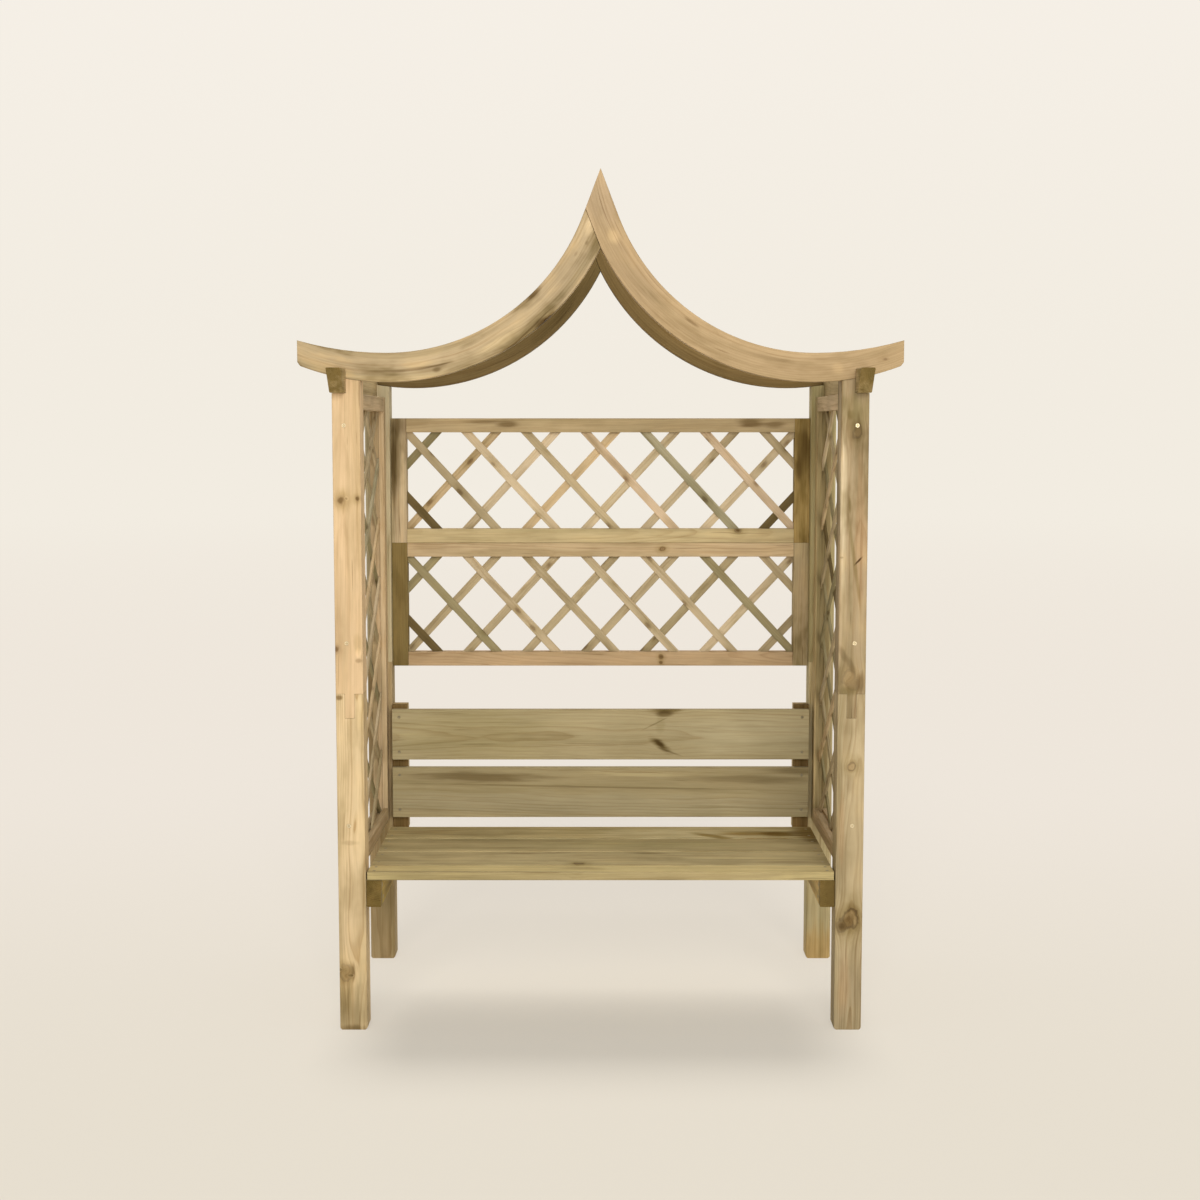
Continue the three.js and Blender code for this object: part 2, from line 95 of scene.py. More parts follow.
class Tree:
    """Adds nodes to one node tree. A value is a socket to link or a constant to set."""

    def __init__(self, tree):
        self.tree = tree

    def feed(self, inputs, feeds):
        for key, value in feeds.items():
            if isinstance(value, bpy.types.NodeSocket):
                self.tree.links.new(value, inputs[key])
            else:
                inputs[key].default_value = value

    def add(self, kind, feeds=None, **settings):
        node = self.tree.nodes.new(f"ShaderNode{kind}")
        for key, value in settings.items():
            setattr(node, key, value)
        self.feed(node.inputs, feeds or {})
        return node

    def first(self, kind, feeds=None, **settings):
        return self.add(kind, feeds, **settings).outputs[0]

    def math(self, operation, *values, clamp=False):
        return self.first("Math", dict(enumerate(values)), operation=operation, use_clamp=clamp)

    def product(self, value, factor):
        return self.math("MULTIPLY", value, factor)

    def total(self, start, *parts):
        """start plus each value of parts times its factor."""
        for value, factor in parts:
            start = self.math("MULTIPLY_ADD", value, factor, start)
        return start

    def vector(self, operation, *values):
        keys = (0, "Scale") if operation == "SCALE" else range(len(values))
        node = self.add("VectorMath", dict(zip(keys, values)), operation=operation)
        return node.outputs["Value" if operation == "LENGTH" else "Vector"]

    def length(self, vector, scale):
        """The length of a vector after its parts are scaled."""
        return self.vector("LENGTH", self.vector("MULTIPLY", vector, scale))

    def part(self, vector, axis):
        return self.add("SeparateXYZ", {0: vector}).outputs[axis]

    def place(self, output="Object"):
        return self.add("TexCoord").outputs[output]

    def attribute(self, name, output="Fac"):
        return self.add("Attribute", attribute_name=name).outputs[output]

    def mix(self, factor, first, second, blend="MIX"):
        feeds = {0: factor, 6: first, 7: second}
        return self.add("Mix", feeds, data_type="RGBA", blend_type=blend).outputs[2]

    def noise(self, place, stretch, detail=2.0, roughness=0.5, output="Fac"):
        stretched = self.vector("MULTIPLY", place, stretch)
        feeds = {"Vector": stretched, "Scale": 1.0, "Detail": detail, "Roughness": roughness}
        return self.add("TexNoise", feeds).outputs[output]

    def drift(self, place, stretch):
        """A random vector that changes slowly, about 0."""
        return self.vector("SUBTRACT", self.noise(place, stretch, output="Color"), HALF)

    def between(self, value, low, high, start=0.0, end=1.0):
        """value eased from start at low to end at high."""
        feeds = {"Value": value, "From Min": low, "From Max": high, "To Min": start, "To Max": end}
        return self.add("MapRange", feeds, interpolation_type="SMOOTHSTEP").outputs["Result"]

    def ramp(self, value, stops):
        node = self.add("ValToRGB", {0: value})
        ramp = node.color_ramp
        ramp.interpolation = "EASE"
        for i, (place, shade) in enumerate(stops):
            stop = ramp.elements[i] if i < len(ramp.elements) else ramp.elements.new(place)
            stop.position = place
            stop.color = (*shade, 1.0)
        return node.outputs["Color"]

    def bump(self, height, strength, distance):
        feeds = {"Height": height, "Strength": strength, "Distance": distance}
        return self.add("Bump", feeds).outputs["Normal"]

    def group(self, group, feeds):
        return self.add("Group", feeds, node_tree=group).outputs


def new_group(name, inputs, outputs):
    """An empty node group, its Tree, its input sockets and its output ones."""
    group = bpy.data.node_groups.new(name, "ShaderNodeTree")
    for way, kinds in (("INPUT", inputs), ("OUTPUT", outputs)):
        for kind, labels in kinds.items():
            for label in labels.split():
                group.interface.new_socket(name=label, in_out=way, socket_type=f"NodeSocket{kind}")
    given = group.nodes.new("NodeGroupInput").outputs
    return group, Tree(group), given, group.nodes.new("NodeGroupOutput").inputs


def new_material(name):
    """A material, its Tree and the inputs of its shader."""
    material = bpy.data.materials.new(name)
    material.use_nodes = True
    shader = material.node_tree.nodes["Principled BSDF"]
    return material, Tree(material.node_tree), shader.inputs


def add_object(name, data):
    made = bpy.data.objects.new(name, data)
    bpy.context.scene.collection.objects.link(made)
    return made


def mesh_of(name, bm, material):
    """A mesh from bm, which is freed."""
    mesh = bpy.data.meshes.new(name)
    bm.to_mesh(mesh)
    bm.free()
    mesh.materials.append(material)
    return mesh


def smooth(mesh, angle=FACET):
    mesh.shade_smooth()
    mesh.set_sharp_from_angle(angle=angle)


def knot_group():
    """Turns the grain round one knot. Keeps the distance to the nearest knot and how it shows."""
    inputs = dict(Vector="Vector Warp Centre Spread", Float="Near Heart Clear Dark Rim")
    outputs = dict(Vector="Vector", Float="Near Heart Clear")
    group, tree, given, out = new_group("knot", inputs, outputs)
    offset = tree.vector("SUBTRACT", given["Vector"], given["Centre"])
    reach = tree.length(offset, given["Spread"])
    fade = tree.total(1.0, (tree.product(reach, reach), KNOT_FADE))
    push = tree.math("DIVIDE", KNOT_PUSH, tree.product(fade, fade))
    aside = tree.vector("SCALE", tree.vector("MULTIPLY", offset, ACROSS), push)
    ragged = tree.length(tree.vector("ADD", offset, given["Warp"]), given["Spread"])
    heart = tree.product(tree.between(ragged, 1.0, 0.4), given["Dark"])
    nearer = tree.math("LESS_THAN", ragged, given["Near"])
    change = tree.math("SUBTRACT", given["Rim"], given["Clear"])
    tree.feed(out, {
        "Vector": tree.vector("SUBTRACT", given["Vector"], aside),
        "Near": tree.math("MINIMUM", given["Near"], ragged),
        "Heart": tree.math("MAXIMUM", given["Heart"], heart),
        "Clear": tree.total(given["Clear"], (nearer, change)),
    })
    return group


def mark_group():
    """Tints one patch, with an edge that runs out along the grain."""
    inputs = dict(Vector="Vector Centre Spread Lean", Color="Color Tint", Float="Wobble Depth")
    group, tree, given, out = new_group("mark", inputs, dict(Color="Color"))
    offset = tree.vector("SUBTRACT", given["Vector"], given["Centre"])
    lean = tree.vector("SCALE", given["Lean"], tree.part(offset, "Z"))
    reach = tree.length(tree.vector("SUBTRACT", offset, lean), given["Spread"])
    mask = tree.between(tree.math("ADD", reach, given["Wobble"]), 1.25, 0.35)
    share = tree.product(mask, given["Depth"])
    tree.feed(out, {"Color": tree.mix(share, given["Color"], given["Tint"], "MULTIPLY")})
    return group


def pine_group():
    """Solid pine: growth rings round the pith, fibre, streaks, checks, knots and end grain."""
    inputs = dict(
        Vector="Vector", Color="Base",
        Float="Near Heart Clear Ring Rings Streaks Blotches Checks Ends Edges",
    )
    group, tree, given, out = new_group("pine", inputs, dict(Color="Color", Float="Roughness Height"))
    place = given["Vector"]

    # The trunk wanders, and its fibres waver a little
    trunk = place
    for stretch, reach in (((4, 4, 0.9), 0.035), ((28, 28, 6), 0.006)):
        trunk = tree.vector("ADD", trunk, tree.vector("SCALE", tree.drift(place, stretch), reach))

    # Late wood, from 0 to 1 in each ring, and stronger in some years
    years = tree.math("DIVIDE", tree.length(trunk, ACROSS), given["Ring"])
    season = [(0.0, 0.25), (0.16, 0), (0.55, 0.14), (0.86, 0.8), (0.94, 1), (1.0, 0.25)]
    late = tree.ramp(tree.math("FRACT", years), [(at, (grey, grey, grey)) for at, grey in season])
    year_feeds = {"W": years, "Scale": 0.37, "Detail": 1.0}
    year_kind = tree.add("TexNoise", year_feeds, noise_dimensions="1D").outputs["Fac"]
    late = tree.product(late, tree.between(year_kind, 0.3, 0.7, 0.3, 1.0))
    late_depth = tree.product(late, given["Rings"])

    fibre = tree.noise(place, (420, 420, 11), 2.0, 0.6)
    streak = tree.noise(trunk, (32, 32, 1.1))
    vein = tree.noise(trunk, (130, 130, 2.4))
    blotch = tree.noise(trunk, (20, 20, 6.5), 3.0, 0.55)
    cloud = tree.noise(place, (9, 9, 3.5))
    check = tree.between(tree.noise(trunk, (150, 150, 3.2), 1.0), 0.71, 0.75)
    check = tree.product(check, given["Checks"])

    # Colour
    def tinted(shade, share, strength, tint):
        return tree.mix(tree.product(share, strength), shade, (*tint, 1), "MULTIPLY")

    shade = tree.mix(late_depth, given["Base"], (0.62, 0.52, 0.38, 1), "MULTIPLY")
    for layer, none, full, strength, tint in (
        (streak, 0.46, 0.68, given["Streaks"], (0.60, 0.61, 0.49)),
        (vein, 0.5, 0.72, given["Streaks"], (0.66, 0.59, 0.48)),
        (streak, 0.48, 0.3, given["Streaks"], (1.2, 1.18, 1.16)),
        (blotch, 0.46, 0.68, given["Blotches"], (0.52, 0.49, 0.38)),
        (blotch, 0.48, 0.3, given["Blotches"], (1.22, 1.18, 1.1)),
        (fibre, 0.35, 0.75, 0.34, (0.70, 0.67, 0.61)),
        (cloud, 0.3, 0.7, 0.45, (0.80, 0.80, 0.78)),
    ):
        shade = tinted(shade, tree.between(layer, none, full), strength, tint)

    # Knots: a brown heart, a dark rim that comes and goes, and a shaded collar of grain
    fleck = tree.math("SUBTRACT", fibre, 0.5)
    ragged = tree.total(given["Near"], (fleck, 0.2))
    knot_tint = tree.ramp(tree.math("DIVIDE", ragged, 4.0, clamp=True), [
        (0.0, (0.60, 0.51, 0.38)), (0.13, (0.74, 0.66, 0.52)), (0.19, (0.56, 0.47, 0.34)),
        (0.23, (0.26, 0.20, 0.12)), (0.265, (0.30, 0.24, 0.16)), (0.31, (0.64, 0.59, 0.45)),
        (0.52, (0.86, 0.85, 0.78)), (1.0, (1, 1, 1)),
    ])
    knot_share = tree.product(tree.between(blotch, 0.3, 0.62, 0.55, 1.0), given["Clear"])
    shade = tree.mix(knot_share, shade, knot_tint, "MULTIPLY")
    in_knot = tree.product(tree.between(ragged, 1.15, 0.9), given["Clear"])
    knot_rings = tree.math("FRACT", tree.product(ragged, 3.6))
    knot_rings = tree.product(tree.between(knot_rings, 0.5, 0.9), in_knot)

    # Knot rings and hearts, checks, sawn ends and rubbed edges
    for share, strength, tint in (
        (knot_rings, 0.4, (0.7, 0.62, 0.5)),
        (given["Heart"], 1.0, (0.29, 0.23, 0.15)),
        (check, 0.75, (0.42, 0.33, 0.22)),
        (given["Ends"], 1.0, (0.68, 0.63, 0.53)),
        (given["Edges"], 0.55, (1.08, 1.07, 1.05)),
    ):
        shade = tinted(shade, share, strength, tint)

    # Sheen and relief
    relief = tree.product(fibre, 0.8)
    tree.feed(out, {
        "Color": shade,
        "Roughness": tree.total(
            0.74, (late_depth, -0.12), (fleck, 0.2), (in_knot, -0.16), (given["Ends"], 0.16),
        ),
        "Height": tree.total(relief, (late, 0.45), (in_knot, 0.5), (check, -2.5)),
    })
    return group


knot_nodes = knot_group()
mark_nodes = mark_group()
pine_nodes = pine_group()


class Grain:
    """Where a piece lay in its tree: a straight piece along an axis, or a rafter round its curve."""

    def __init__(self, name, axis, pith, box):
        draw = random.Random(name)
        self.axis = axis
        self.curved = axis in ("left", "right")
        self.centre = -CURVE_OFFSET if axis == "left" else CURVE_OFFSET
        self.front = box[0].y
        self.middle = (box[0] + box[1]) / 2
        self.pith = [MM * p for p in pith]
        self.shift = draw.uniform(*GRAIN_SHIFT)
        self.tilt = [draw.uniform(-GRAIN_TILT, GRAIN_TILT) for _ in range(2)]

    def place(self, point):
        """A point of the piece in grain coordinates: across, across, along."""
        if self.curved:
            dx = point[0] - self.centre
            dz = point[2] - CURVE_HEIGHT
            first = math.hypot(dx, dz) - CURVE_RADIUS
            second = point[1] - self.middle[1]
            along = math.atan2(dx, -dz) * CURVE_RADIUS
        else:
            i, j, k = AXES[self.axis]
            along = point[k] - self.middle[k]
            first = point[i] - self.middle[i] + self.tilt[0] * along
            second = point[j] - self.middle[j] + self.tilt[1] * along
        return Vector((first - self.pith[0], second - self.pith[1], along + self.shift))

    def direction(self, point):
        """The way the grain runs at a point."""
        if self.curved:
            away = Vector((point[0] - self.centre, 0, point[2] - CURVE_HEIGHT)).normalized()
            return Vector((-away.z, 0, away.x))
        along = Vector((0, 0, 0))
        along[AXES[self.axis][2]] = 1
        return along


def grain_socket(tree, grain):
    """The grain coordinates of the shaded point."""
    if not grain or not grain.curved:
        return tree.attribute("grain", "Vector")
    place = tree.add("SeparateXYZ", {0: tree.place()}).outputs
    dx = tree.math("SUBTRACT", place["X"], grain.centre)
    dz = tree.math("SUBTRACT", place["Z"], CURVE_HEIGHT)
    radius = tree.math("SQRT", tree.total(tree.product(dz, dz), (dx, dx)))
    turn = tree.math("ARCTAN2", dx, tree.product(dz, -1.0))
    return tree.first("CombineXYZ", {
        0: tree.math("SUBTRACT", radius, CURVE_RADIUS + grain.pith[0]),
        1: tree.math("SUBTRACT", place["Y"], grain.middle[1] + grain.pith[1]),
        2: tree.total(grain.shift, (turn, CURVE_RADIUS)),
    })


def mark(point, size, depth, tint=(0.40, 0.34, 0.24), lean=(0, 0)):
    """A darker or paler patch, from depth 0, unseen, to 1. Most are stains and pale wood; some, where a
    comment says so, are painted light and shade.
    """
    return dict(point=point, size=size, depth=depth, tint=tint, lean=lean)


def knot(point, size, dark=0.5, rim=1.0):
    """A knot, from an open ring at dark 0 to a black one at 1. rim is how clear the ring is."""
    return dict(point=point, size=size, dark=dark, rim=rim)


def swirl(point, size):
    """A turn of the grain as round a knot that lies under the surface."""
    return dict(point=point, size=size, dark=None, rim=0.0)


def centre_and_spread(spot, grain):
    point = [MM * p for p in spot["point"]]
    if len(point) == 2:
        point.insert(1, grain.front)
    return {"Centre": grain.place(point), "Spread": [1 / (MM * s) for s in spot["size"]]}


def with_marks(tree, place, base, grain, marks):
    """The base colour with its marks on."""
    wobble = tree.total(-0.55, (tree.noise(place, (90, 90, 9)), 1.1))
    for spot in marks:
        base = tree.group(mark_nodes, {
            "Vector": place, "Color": base, "Wobble": wobble, "Depth": spot["depth"],
            "Tint": (*spot["tint"], 1), "Lean": (*spot["lean"], 0),
        } | centre_and_spread(spot, grain))["Color"]
    return base


def knotted(tree, place, grain, knots):
    """Grain coordinates turned round the knots, with the knots' own distance and darkness."""
    near, heart, clear = NO_KNOT, 0.0, 1.0
    warp = tree.drift(place, (60, 60, 36)) if knots else None
    for spot in knots:
        turned = tree.group(knot_nodes, {
            "Vector": place, "Near": near, "Heart": heart, "Clear": clear,
            "Warp": tree.vector("SCALE", warp, 1.3 * MM * spot["size"][2]),
            "Dark": spot["dark"] or 0.0, "Rim": spot["rim"],
        } | centre_and_spread(spot, grain))
        place = turned["Vector"]
        if spot["dark"] is not None:
            near, heart, clear = turned["Near"], turned["Heart"], turned["Clear"]
    return place, near, heart, clear


def strewn(tree, place):
    """The distance and darkness of small knots strewn over a piece."""
    cells = tree.vector("MULTIPLY", place, (26, 19, 13))
    near = tree.product(tree.add("TexVoronoi", {"Vector": cells, "Scale": 1.0}).outputs["Distance"], 8.0)
    return near, tree.product(tree.between(near, 1.0, 0.4), 0.6)


def pine(
    name, base, grain=None, ring=4.5, rings=0.5, streaks=0.5, blotches=0.3, checks=0.6, knots=(), marks=(),
    specks=0.0,
):
    """A pine material. Without a base, each point's tint attribute is the colour."""
    material, tree, shader = new_material(name)
    place = grain_socket(tree, grain)
    if base is None:
        base = tree.attribute("tint", "Color")
    if marks:
        base = with_marks(tree, place, base, grain, marks)
    place, near, heart, clear = knotted(tree, place, grain, knots)
    if specks:
        near, heart = strewn(tree, place)
        clear = specks
    wood = tree.group(pine_nodes, {
        "Vector": place, "Near": near, "Heart": heart, "Clear": clear, "Base": base, "Ring": MM * ring,
        "Rings": rings, "Streaks": streaks, "Blotches": blotches, "Checks": checks,
        "Ends": tree.attribute("ends"), "Edges": tree.attribute("edges"),
    })
    tree.feed(shader, {
        "Base Color": wood["Color"], "Roughness": wood["Roughness"], "Specular IOR Level": WOOD_SHEEN,
        "Normal": tree.bump(wood["Height"], 0.4, 0.5 * MM),
    })
    return material


def write_attribute(mesh, name, kind, domain, values, width):
    attribute = mesh.attributes.new(name, kind, domain)
    key = {1: "value", 3: "vector", 4: "color"}[width]
    attribute.data.foreach_set(key, [v for value in values for v in (value if width > 1 else [value])])


def finished_mesh(name, bm, grain, eased):
    """A mesh from bm, with its grain, sawn ends and rubbed edges written on it."""
    bm.verts.index_update()
    mesh = bpy.data.meshes.new(name)
    corners = [v.co.copy() for v in bm.verts]
    mesh.from_pydata(corners, [], [[v.index for v in face.verts] for face in bm.faces])
    ends, edges = [], []
    for face in bm.faces:
        share = abs(face.normal.dot(grain.direction(face.calc_center_median())))
        ends += [clamped((share - END_START) / END_SPAN)] * len(face.verts)
        edges += [float(face in eased)] * len(face.verts)
    write_attribute(mesh, "grain", "FLOAT_VECTOR", "POINT", [grain.place(v) for v in corners], 3)
    write_attribute(mesh, "ends", "FLOAT", "CORNER", ends, 1)
    write_attribute(mesh, "edges", "FLOAT", "CORNER", edges, 1)
    smooth(mesh)
    return mesh


def sharp_edges(bm):
    return [
        edge for edge in bm.edges
        if len(edge.link_faces) == 2
        and edge.calc_length() > SHORT_EDGE
        and edge.calc_face_angle() > CORNER
    ]


def ease(bm, edges, width):
    made = bmesh.ops.bevel(
        bm, geom=edges, offset=width, offset_type="OFFSET", segments=EASE_SEGMENTS,
        profile=0.5, affect="EDGES", clamp_overlap=True,
    )
    return set(made["faces"])


def is_arris(edge, grain, box):
    """True for an outer edge along the grain, which is planed round; cut edges stay crisp."""
    middle = (edge.verts[0].co + edge.verts[1].co) / 2
    way = (edge.verts[1].co - edge.verts[0].co).normalized()
    if abs(way.dot(grain.direction(middle))) < WITH_GRAIN:
        return False
    if grain.curved:
        return True
    return all(min(middle[a] - box[0][a], box[1][a] - middle[a]) < MM for a in AXES[grain.axis][:2])


def dress(name, grain, material, width):
    """The node's solid with its edges eased and its material on, in the node's place."""
    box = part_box(name)
    bm = bmesh.new()
    bm.from_mesh(nodes[name].data)
    bmesh.ops.remove_doubles(bm, verts=bm.verts, dist=WELD)
    bmesh.ops.dissolve_limit(bm, angle_limit=FLAT, verts=bm.verts, edges=bm.edges)
    eased = ease(bm, [edge for edge in sharp_edges(bm) if is_arris(edge, grain, box)], width)
    eased = {face for face in eased if face.is_valid}
    ease(bm, [edge for edge in sharp_edges(bm) if not is_arris(edge, grain, box)], CUT_EASE)
    eased = {face for face in eased if face.is_valid}
    bm.normal_update()
    mesh = finished_mesh(f"{name}_wood", bm, grain, eased)
    bm.free()
    mesh.materials.append(material)
    piece = add_object(f"{name}_wood", mesh)
    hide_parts(name)
    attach(piece, "root")


# Looks of the pieces. Base colours are the timber's own, in 8-bit sRGB, save where a comment
# says that one is lightened or darkened as painted light or shade. Points and half sizes are in mm.
# Half sizes are across, across and along the grain, and a lean is how far a mark shifts across for
# each mm along. A point of two numbers, x and z, is on the front of its piece.

RAIL = (201, 175, 136)
OLIVE = (192, 170, 126)
SEAT = (184, 166, 121)

PALE = (1.4, 1.4, 1.38)
GREEN = (0.84, 0.92, 0.82)
PINK = (1.06, 0.92, 0.84)
SHADED = (0.8, 0.8, 0.8)
DIM = (0.9, 0.9, 0.9)
OLIVE_TINT = (0.62, 0.60, 0.42)

SEAT_TOP = 412
ALL_ACROSS = 4000  # half sizes of a mark that covers its piece that way
ALL_ALONG = 9000

looks = {}


def timber(name, axis, base, pith, *spots, **more):
    """The look of each piece that has name in its own. The pith is measured from its middle."""
    knots = [spot for spot in spots if "rim" in spot]
    marks = [spot for spot in spots if "tint" in spot]
    looks[name] = dict(axis=axis, base=colour(*base), pith=pith, knots=knots, marks=marks, **more)


def panel_timber(*facts, **more):
    """The look of a trellis panel's frame, with narrow rings and barely eased edges."""
    timber(*facts, ring=3.6, ease=1.5, **more)


timber(
    "front_left_post_upper", "z", (222, 190, 147), (-14, 42),
    knot((-649, 1362), (11, 36, 12), 0.8, 0.3), knot((-610, 1367), (7, 30, 8), 0.8, 0.2),
    knot((-666, 985), (8, 24, 11), 0.8, 0.4), knot((-641, 1366), (4, 30, 4), 0.5, 0.0),
    mark((-611, 976), (9, 30, 13), 0.5, PALE), mark((-610, 957), (12, 20, 6), 0.5),
    mark((-648, 1362), (24, 40, 30), 0.6, OLIVE_TINT),
    mark((-612, 1364), (14, 40, 18), 0.4, OLIVE_TINT),
    mark((-612, 1000), (14, 40, 26), 0.35, OLIVE_TINT),
    mark((-606, 1300), (8, 60, 240), 0.25, OLIVE_TINT), mark((-635, 1060), (60, 60, 180), 0.7, DIM),
    ring=5.5, rings=0.4, streaks=0.3, blotches=0.25,
)
timber(
    "front_left_post_lower", "z", (222, 195, 151), (12, -12),
    knot((-654, 150), (17, 40, 20), 0.3, 0.6), swirl((-612, 500), (16, 30, 50)),
    knot((-648, 143), (6, 40, 5), 0.8, 0.0), knot((-660, 158), (5, 40, 6), 0.7, 0.0),
    swirl((-620, 260), (18, 30, 60)),
    mark((-642, 40), (56, 80, 90), 1.0, (0.59, 0.59, 0.54)),
    mark((-655, 90), (30, 70, 70), 0.8, (0.7, 0.66, 0.54)),
    mark((-640, 310), (70, 80, 170), 0.9, (0.9, 0.9, 0.91)),
    mark((-654, 150), (24, 50, 30), 0.6, OLIVE_TINT), mark((-634, 150), (5, 40, 26), 0.6),
    mark((-661, 863), (10, 16, 7), 0.9), mark((-640, 1), (44, 50, 14), 0.7),
    mark((-609, 840), (10, 30, 60), 0.6, PALE), mark((-640, 489), (26, 30, 7), 0.3),
    ring=5.0, rings=0.8, streaks=0.3, blotches=0.4,
)
timber(
    "front_right_post_upper", "z", (175, 153, 118), (18, 30),
    knot((641, 1534), (13, 26, 17), 0.0, 0.55), knot((627, 913), (17, 34, 21), 0.0, 0.6),
    knot((634, 896), (10, 30, 13), 0.2, 0.5),
    # Painted highlight: a pale strip along the post's inner arris.
    mark((607, 1380), (9, 70, 220), 0.9, (1.57, 1.69, 1.88)),
    mark((610, 1090), (10, 70, 70), 0.4, PALE), mark((646, 1420), (24, 60, 120), 0.9, DIM),
    mark((652, 1290), (16, 60, 210), 0.7, PINK),
    mark((637, 1210), (6, 40, 130), 0.7, OLIVE_TINT, lean=(-0.14, 0)),
    mark((640, 1585), (44, 60, 46), 0.7, (0.74, 0.76, 0.62)),
    mark((626, 1575), (12, 60, 12), 0.5, OLIVE_TINT), mark((624, 1350), (4, 20, 24), 0.7, OLIVE_TINT),
    mark((648, 1210), (4, 16, 12), 1.0, (0.2, 0.15, 0.1), lean=(0.9, 0)),
    mark((605, 1218), (6, 16, 3), 0.5), mark((655, 1060), (8, 40, 70), 0.35, PALE),
    mark((620, 962), (12, 30, 48), 0.45, lean=(-0.65, 0)), mark((656, 900), (14, 40, 30), 0.7),
    mark((628, 880), (32, 40, 14), 0.6, OLIVE_TINT),
    ring=5.0, streaks=0.6, blotches=0.7,
)
timber(
    "front_right_post_lower", "z", (183, 163, 126), (10, -14),
    knot((637, 291), (21, 40, 24), 0.0, 0.9), knot((624, 272), (12, 30, 14), 0.5, 0.7),
    knot((638, 687), (10, 16, 10), 0.0), swirl((625, 770), (12, 30, 40)),
    swirl((640, 480), (14, 30, 60)),
    mark((609, 640), (7, 40, 100), 0.3), mark((634, 640), (10, 30, 30), 0.3),
    mark((612, 520), (12, 50, 110), 0.6, PINK), mark((624, 110), (18, 50, 90), 0.6, PINK),
    mark((628, 280), (17, 40, 20), 0.8, (0.5, 0.42, 0.3), lean=(0.5, 0)),
    mark((633, 284), (40, 60, 44), 0.4, OLIVE_TINT),
    mark((640, 440), (80, 90, 120), 0.9, (0.88, 0.88, 0.87)),
    mark((636, 60), (80, 90, 140), 1.0, SHADED),
    ring=4.6, rings=0.7, streaks=0.4, blotches=0.4,
)
timber(
    "front_left_rafter", "left", (188, 165, 128), (-50, 40),
    knot((-128, 1810), (8, 40, 13), 0.9), swirl((-405, 1689), (7, 20, 13)),
    swirl((-230, 1760), (14, 60, 26)),
    mark((-137, 1787), (27, 90, 25), 1.0, (0.34, 0.27, 0.17)), mark((-167, 1870), (10, 30, 30), 0.9),
    mark((-480, 1686), (4, 14, 90), 0.6), mark((-420, 1690), (9, 20, 42), 0.4),
    mark((-407, 1686), (7, 20, 12), 0.7), mark((-400, 1698), (2, 20, 30), 0.6),
    mark((-80, 1925), (70, 70, 110), 0.9, (0.85, 0.85, 0.86)), mark((-98, 1836), (5, 20, 60), 0.6),
    mark((-34, 1997), (5, 15, 7), 0.4), mark((-61, 1970), (5, 15, 8), 0.3),
    mark((-245, 1758), (11, 30, 64), 0.7, PALE), mark((-24, 2041), (14, 20, 28), 0.55, PALE),
    mark((-520, 1662), (9, 30, 130), 0.6, PALE),
    ring=5.0, rings=0.4, streaks=0.4, blotches=1.0,
)
timber(
    "front_right_rafter", "right", (184, 157, 118), (-60, 50),
    knot((707, 1713), (4, 18, 6), 0.5, 0.3),
    mark((224, 1804), (4, 15, 24), 0.6), mark((31, 2014), (15, 20, 22), 0.8, PALE),
    mark((147, 1794), (4, 20, 6), 0.9), mark((85, 1925), (70, 70, 110), 0.9, (0.87, 0.87, 0.88)),
    mark((6, 2100), (60, 60, 80), 0.9, (0.95, 0.97, 1.06)), mark((210, 1747), (4, 20, 5), 0.9),
    mark((420, 1715), (5, 20, 70), 0.3), mark((590, 1690), (14, 20, 16), 0.4, PALE),
    mark((60, 2075), (30, 30, 50), 0.3, OLIVE_TINT),
    ring=4.2, rings=0.28, streaks=0.28, blotches=0.4,
)
# The rear rafters' bases are darkened below the timber's own colour: painted shade, the shade behind the
# front rafters.
timber("rear_left_rafter", "left", (124, 103, 65), (-60, 30))
timber("rear_right_rafter", "right", (129, 106, 66), (-40, 50))
timber(
    "seat_front_board", "x", (210, 189, 133), (0, -70),
    swirl((-60, -330, SEAT_TOP), (10, 40, 16)),
    mark((-56, -300, SEAT_TOP), (18, 20, 60), 0.35),
    mark((550, -344, 400), (60, 60, 130), 1.0, (0.86, 0.86, 0.85)),
    # Painted shade: the whole front face of the board is darkened.
    mark((0, -344, 400), (7, 60, 2000), 1.0, (0.64, 0.63, 0.66)),
    rings=0.3, streaks=0.35, blotches=0.15, ease=3.5,
)
timber(
    "seat_board_1", "x", SEAT, (30, -60),
    swirl((-56, -200, SEAT_TOP), (18, 40, 26)), knot((-56, -246, SEAT_TOP), (9, 30, 12), 0.4),
    mark((368, -190, SEAT_TOP), (16, 30, 160), 0.5, PALE),
    mark((-216, -140, SEAT_TOP), (12, 30, 60), 0.5), mark((132, -140, SEAT_TOP), (10, 30, 50), 0.5),
    mark((500, -240, SEAT_TOP), (16, 30, 120), 0.45),
    rings=0.4, streaks=0.4, blotches=0.35, ease=3.0,
)
timber(
    "seat_board_2", "x", SEAT, (-30, -60),
    mark((100, -40, SEAT_TOP), (40, 30, 400), 0.4, GREEN), mark((598, 8, SEAT_TOP), (40, 30, 38), 0.9),
    streaks=0.4, blotches=0.25,
)
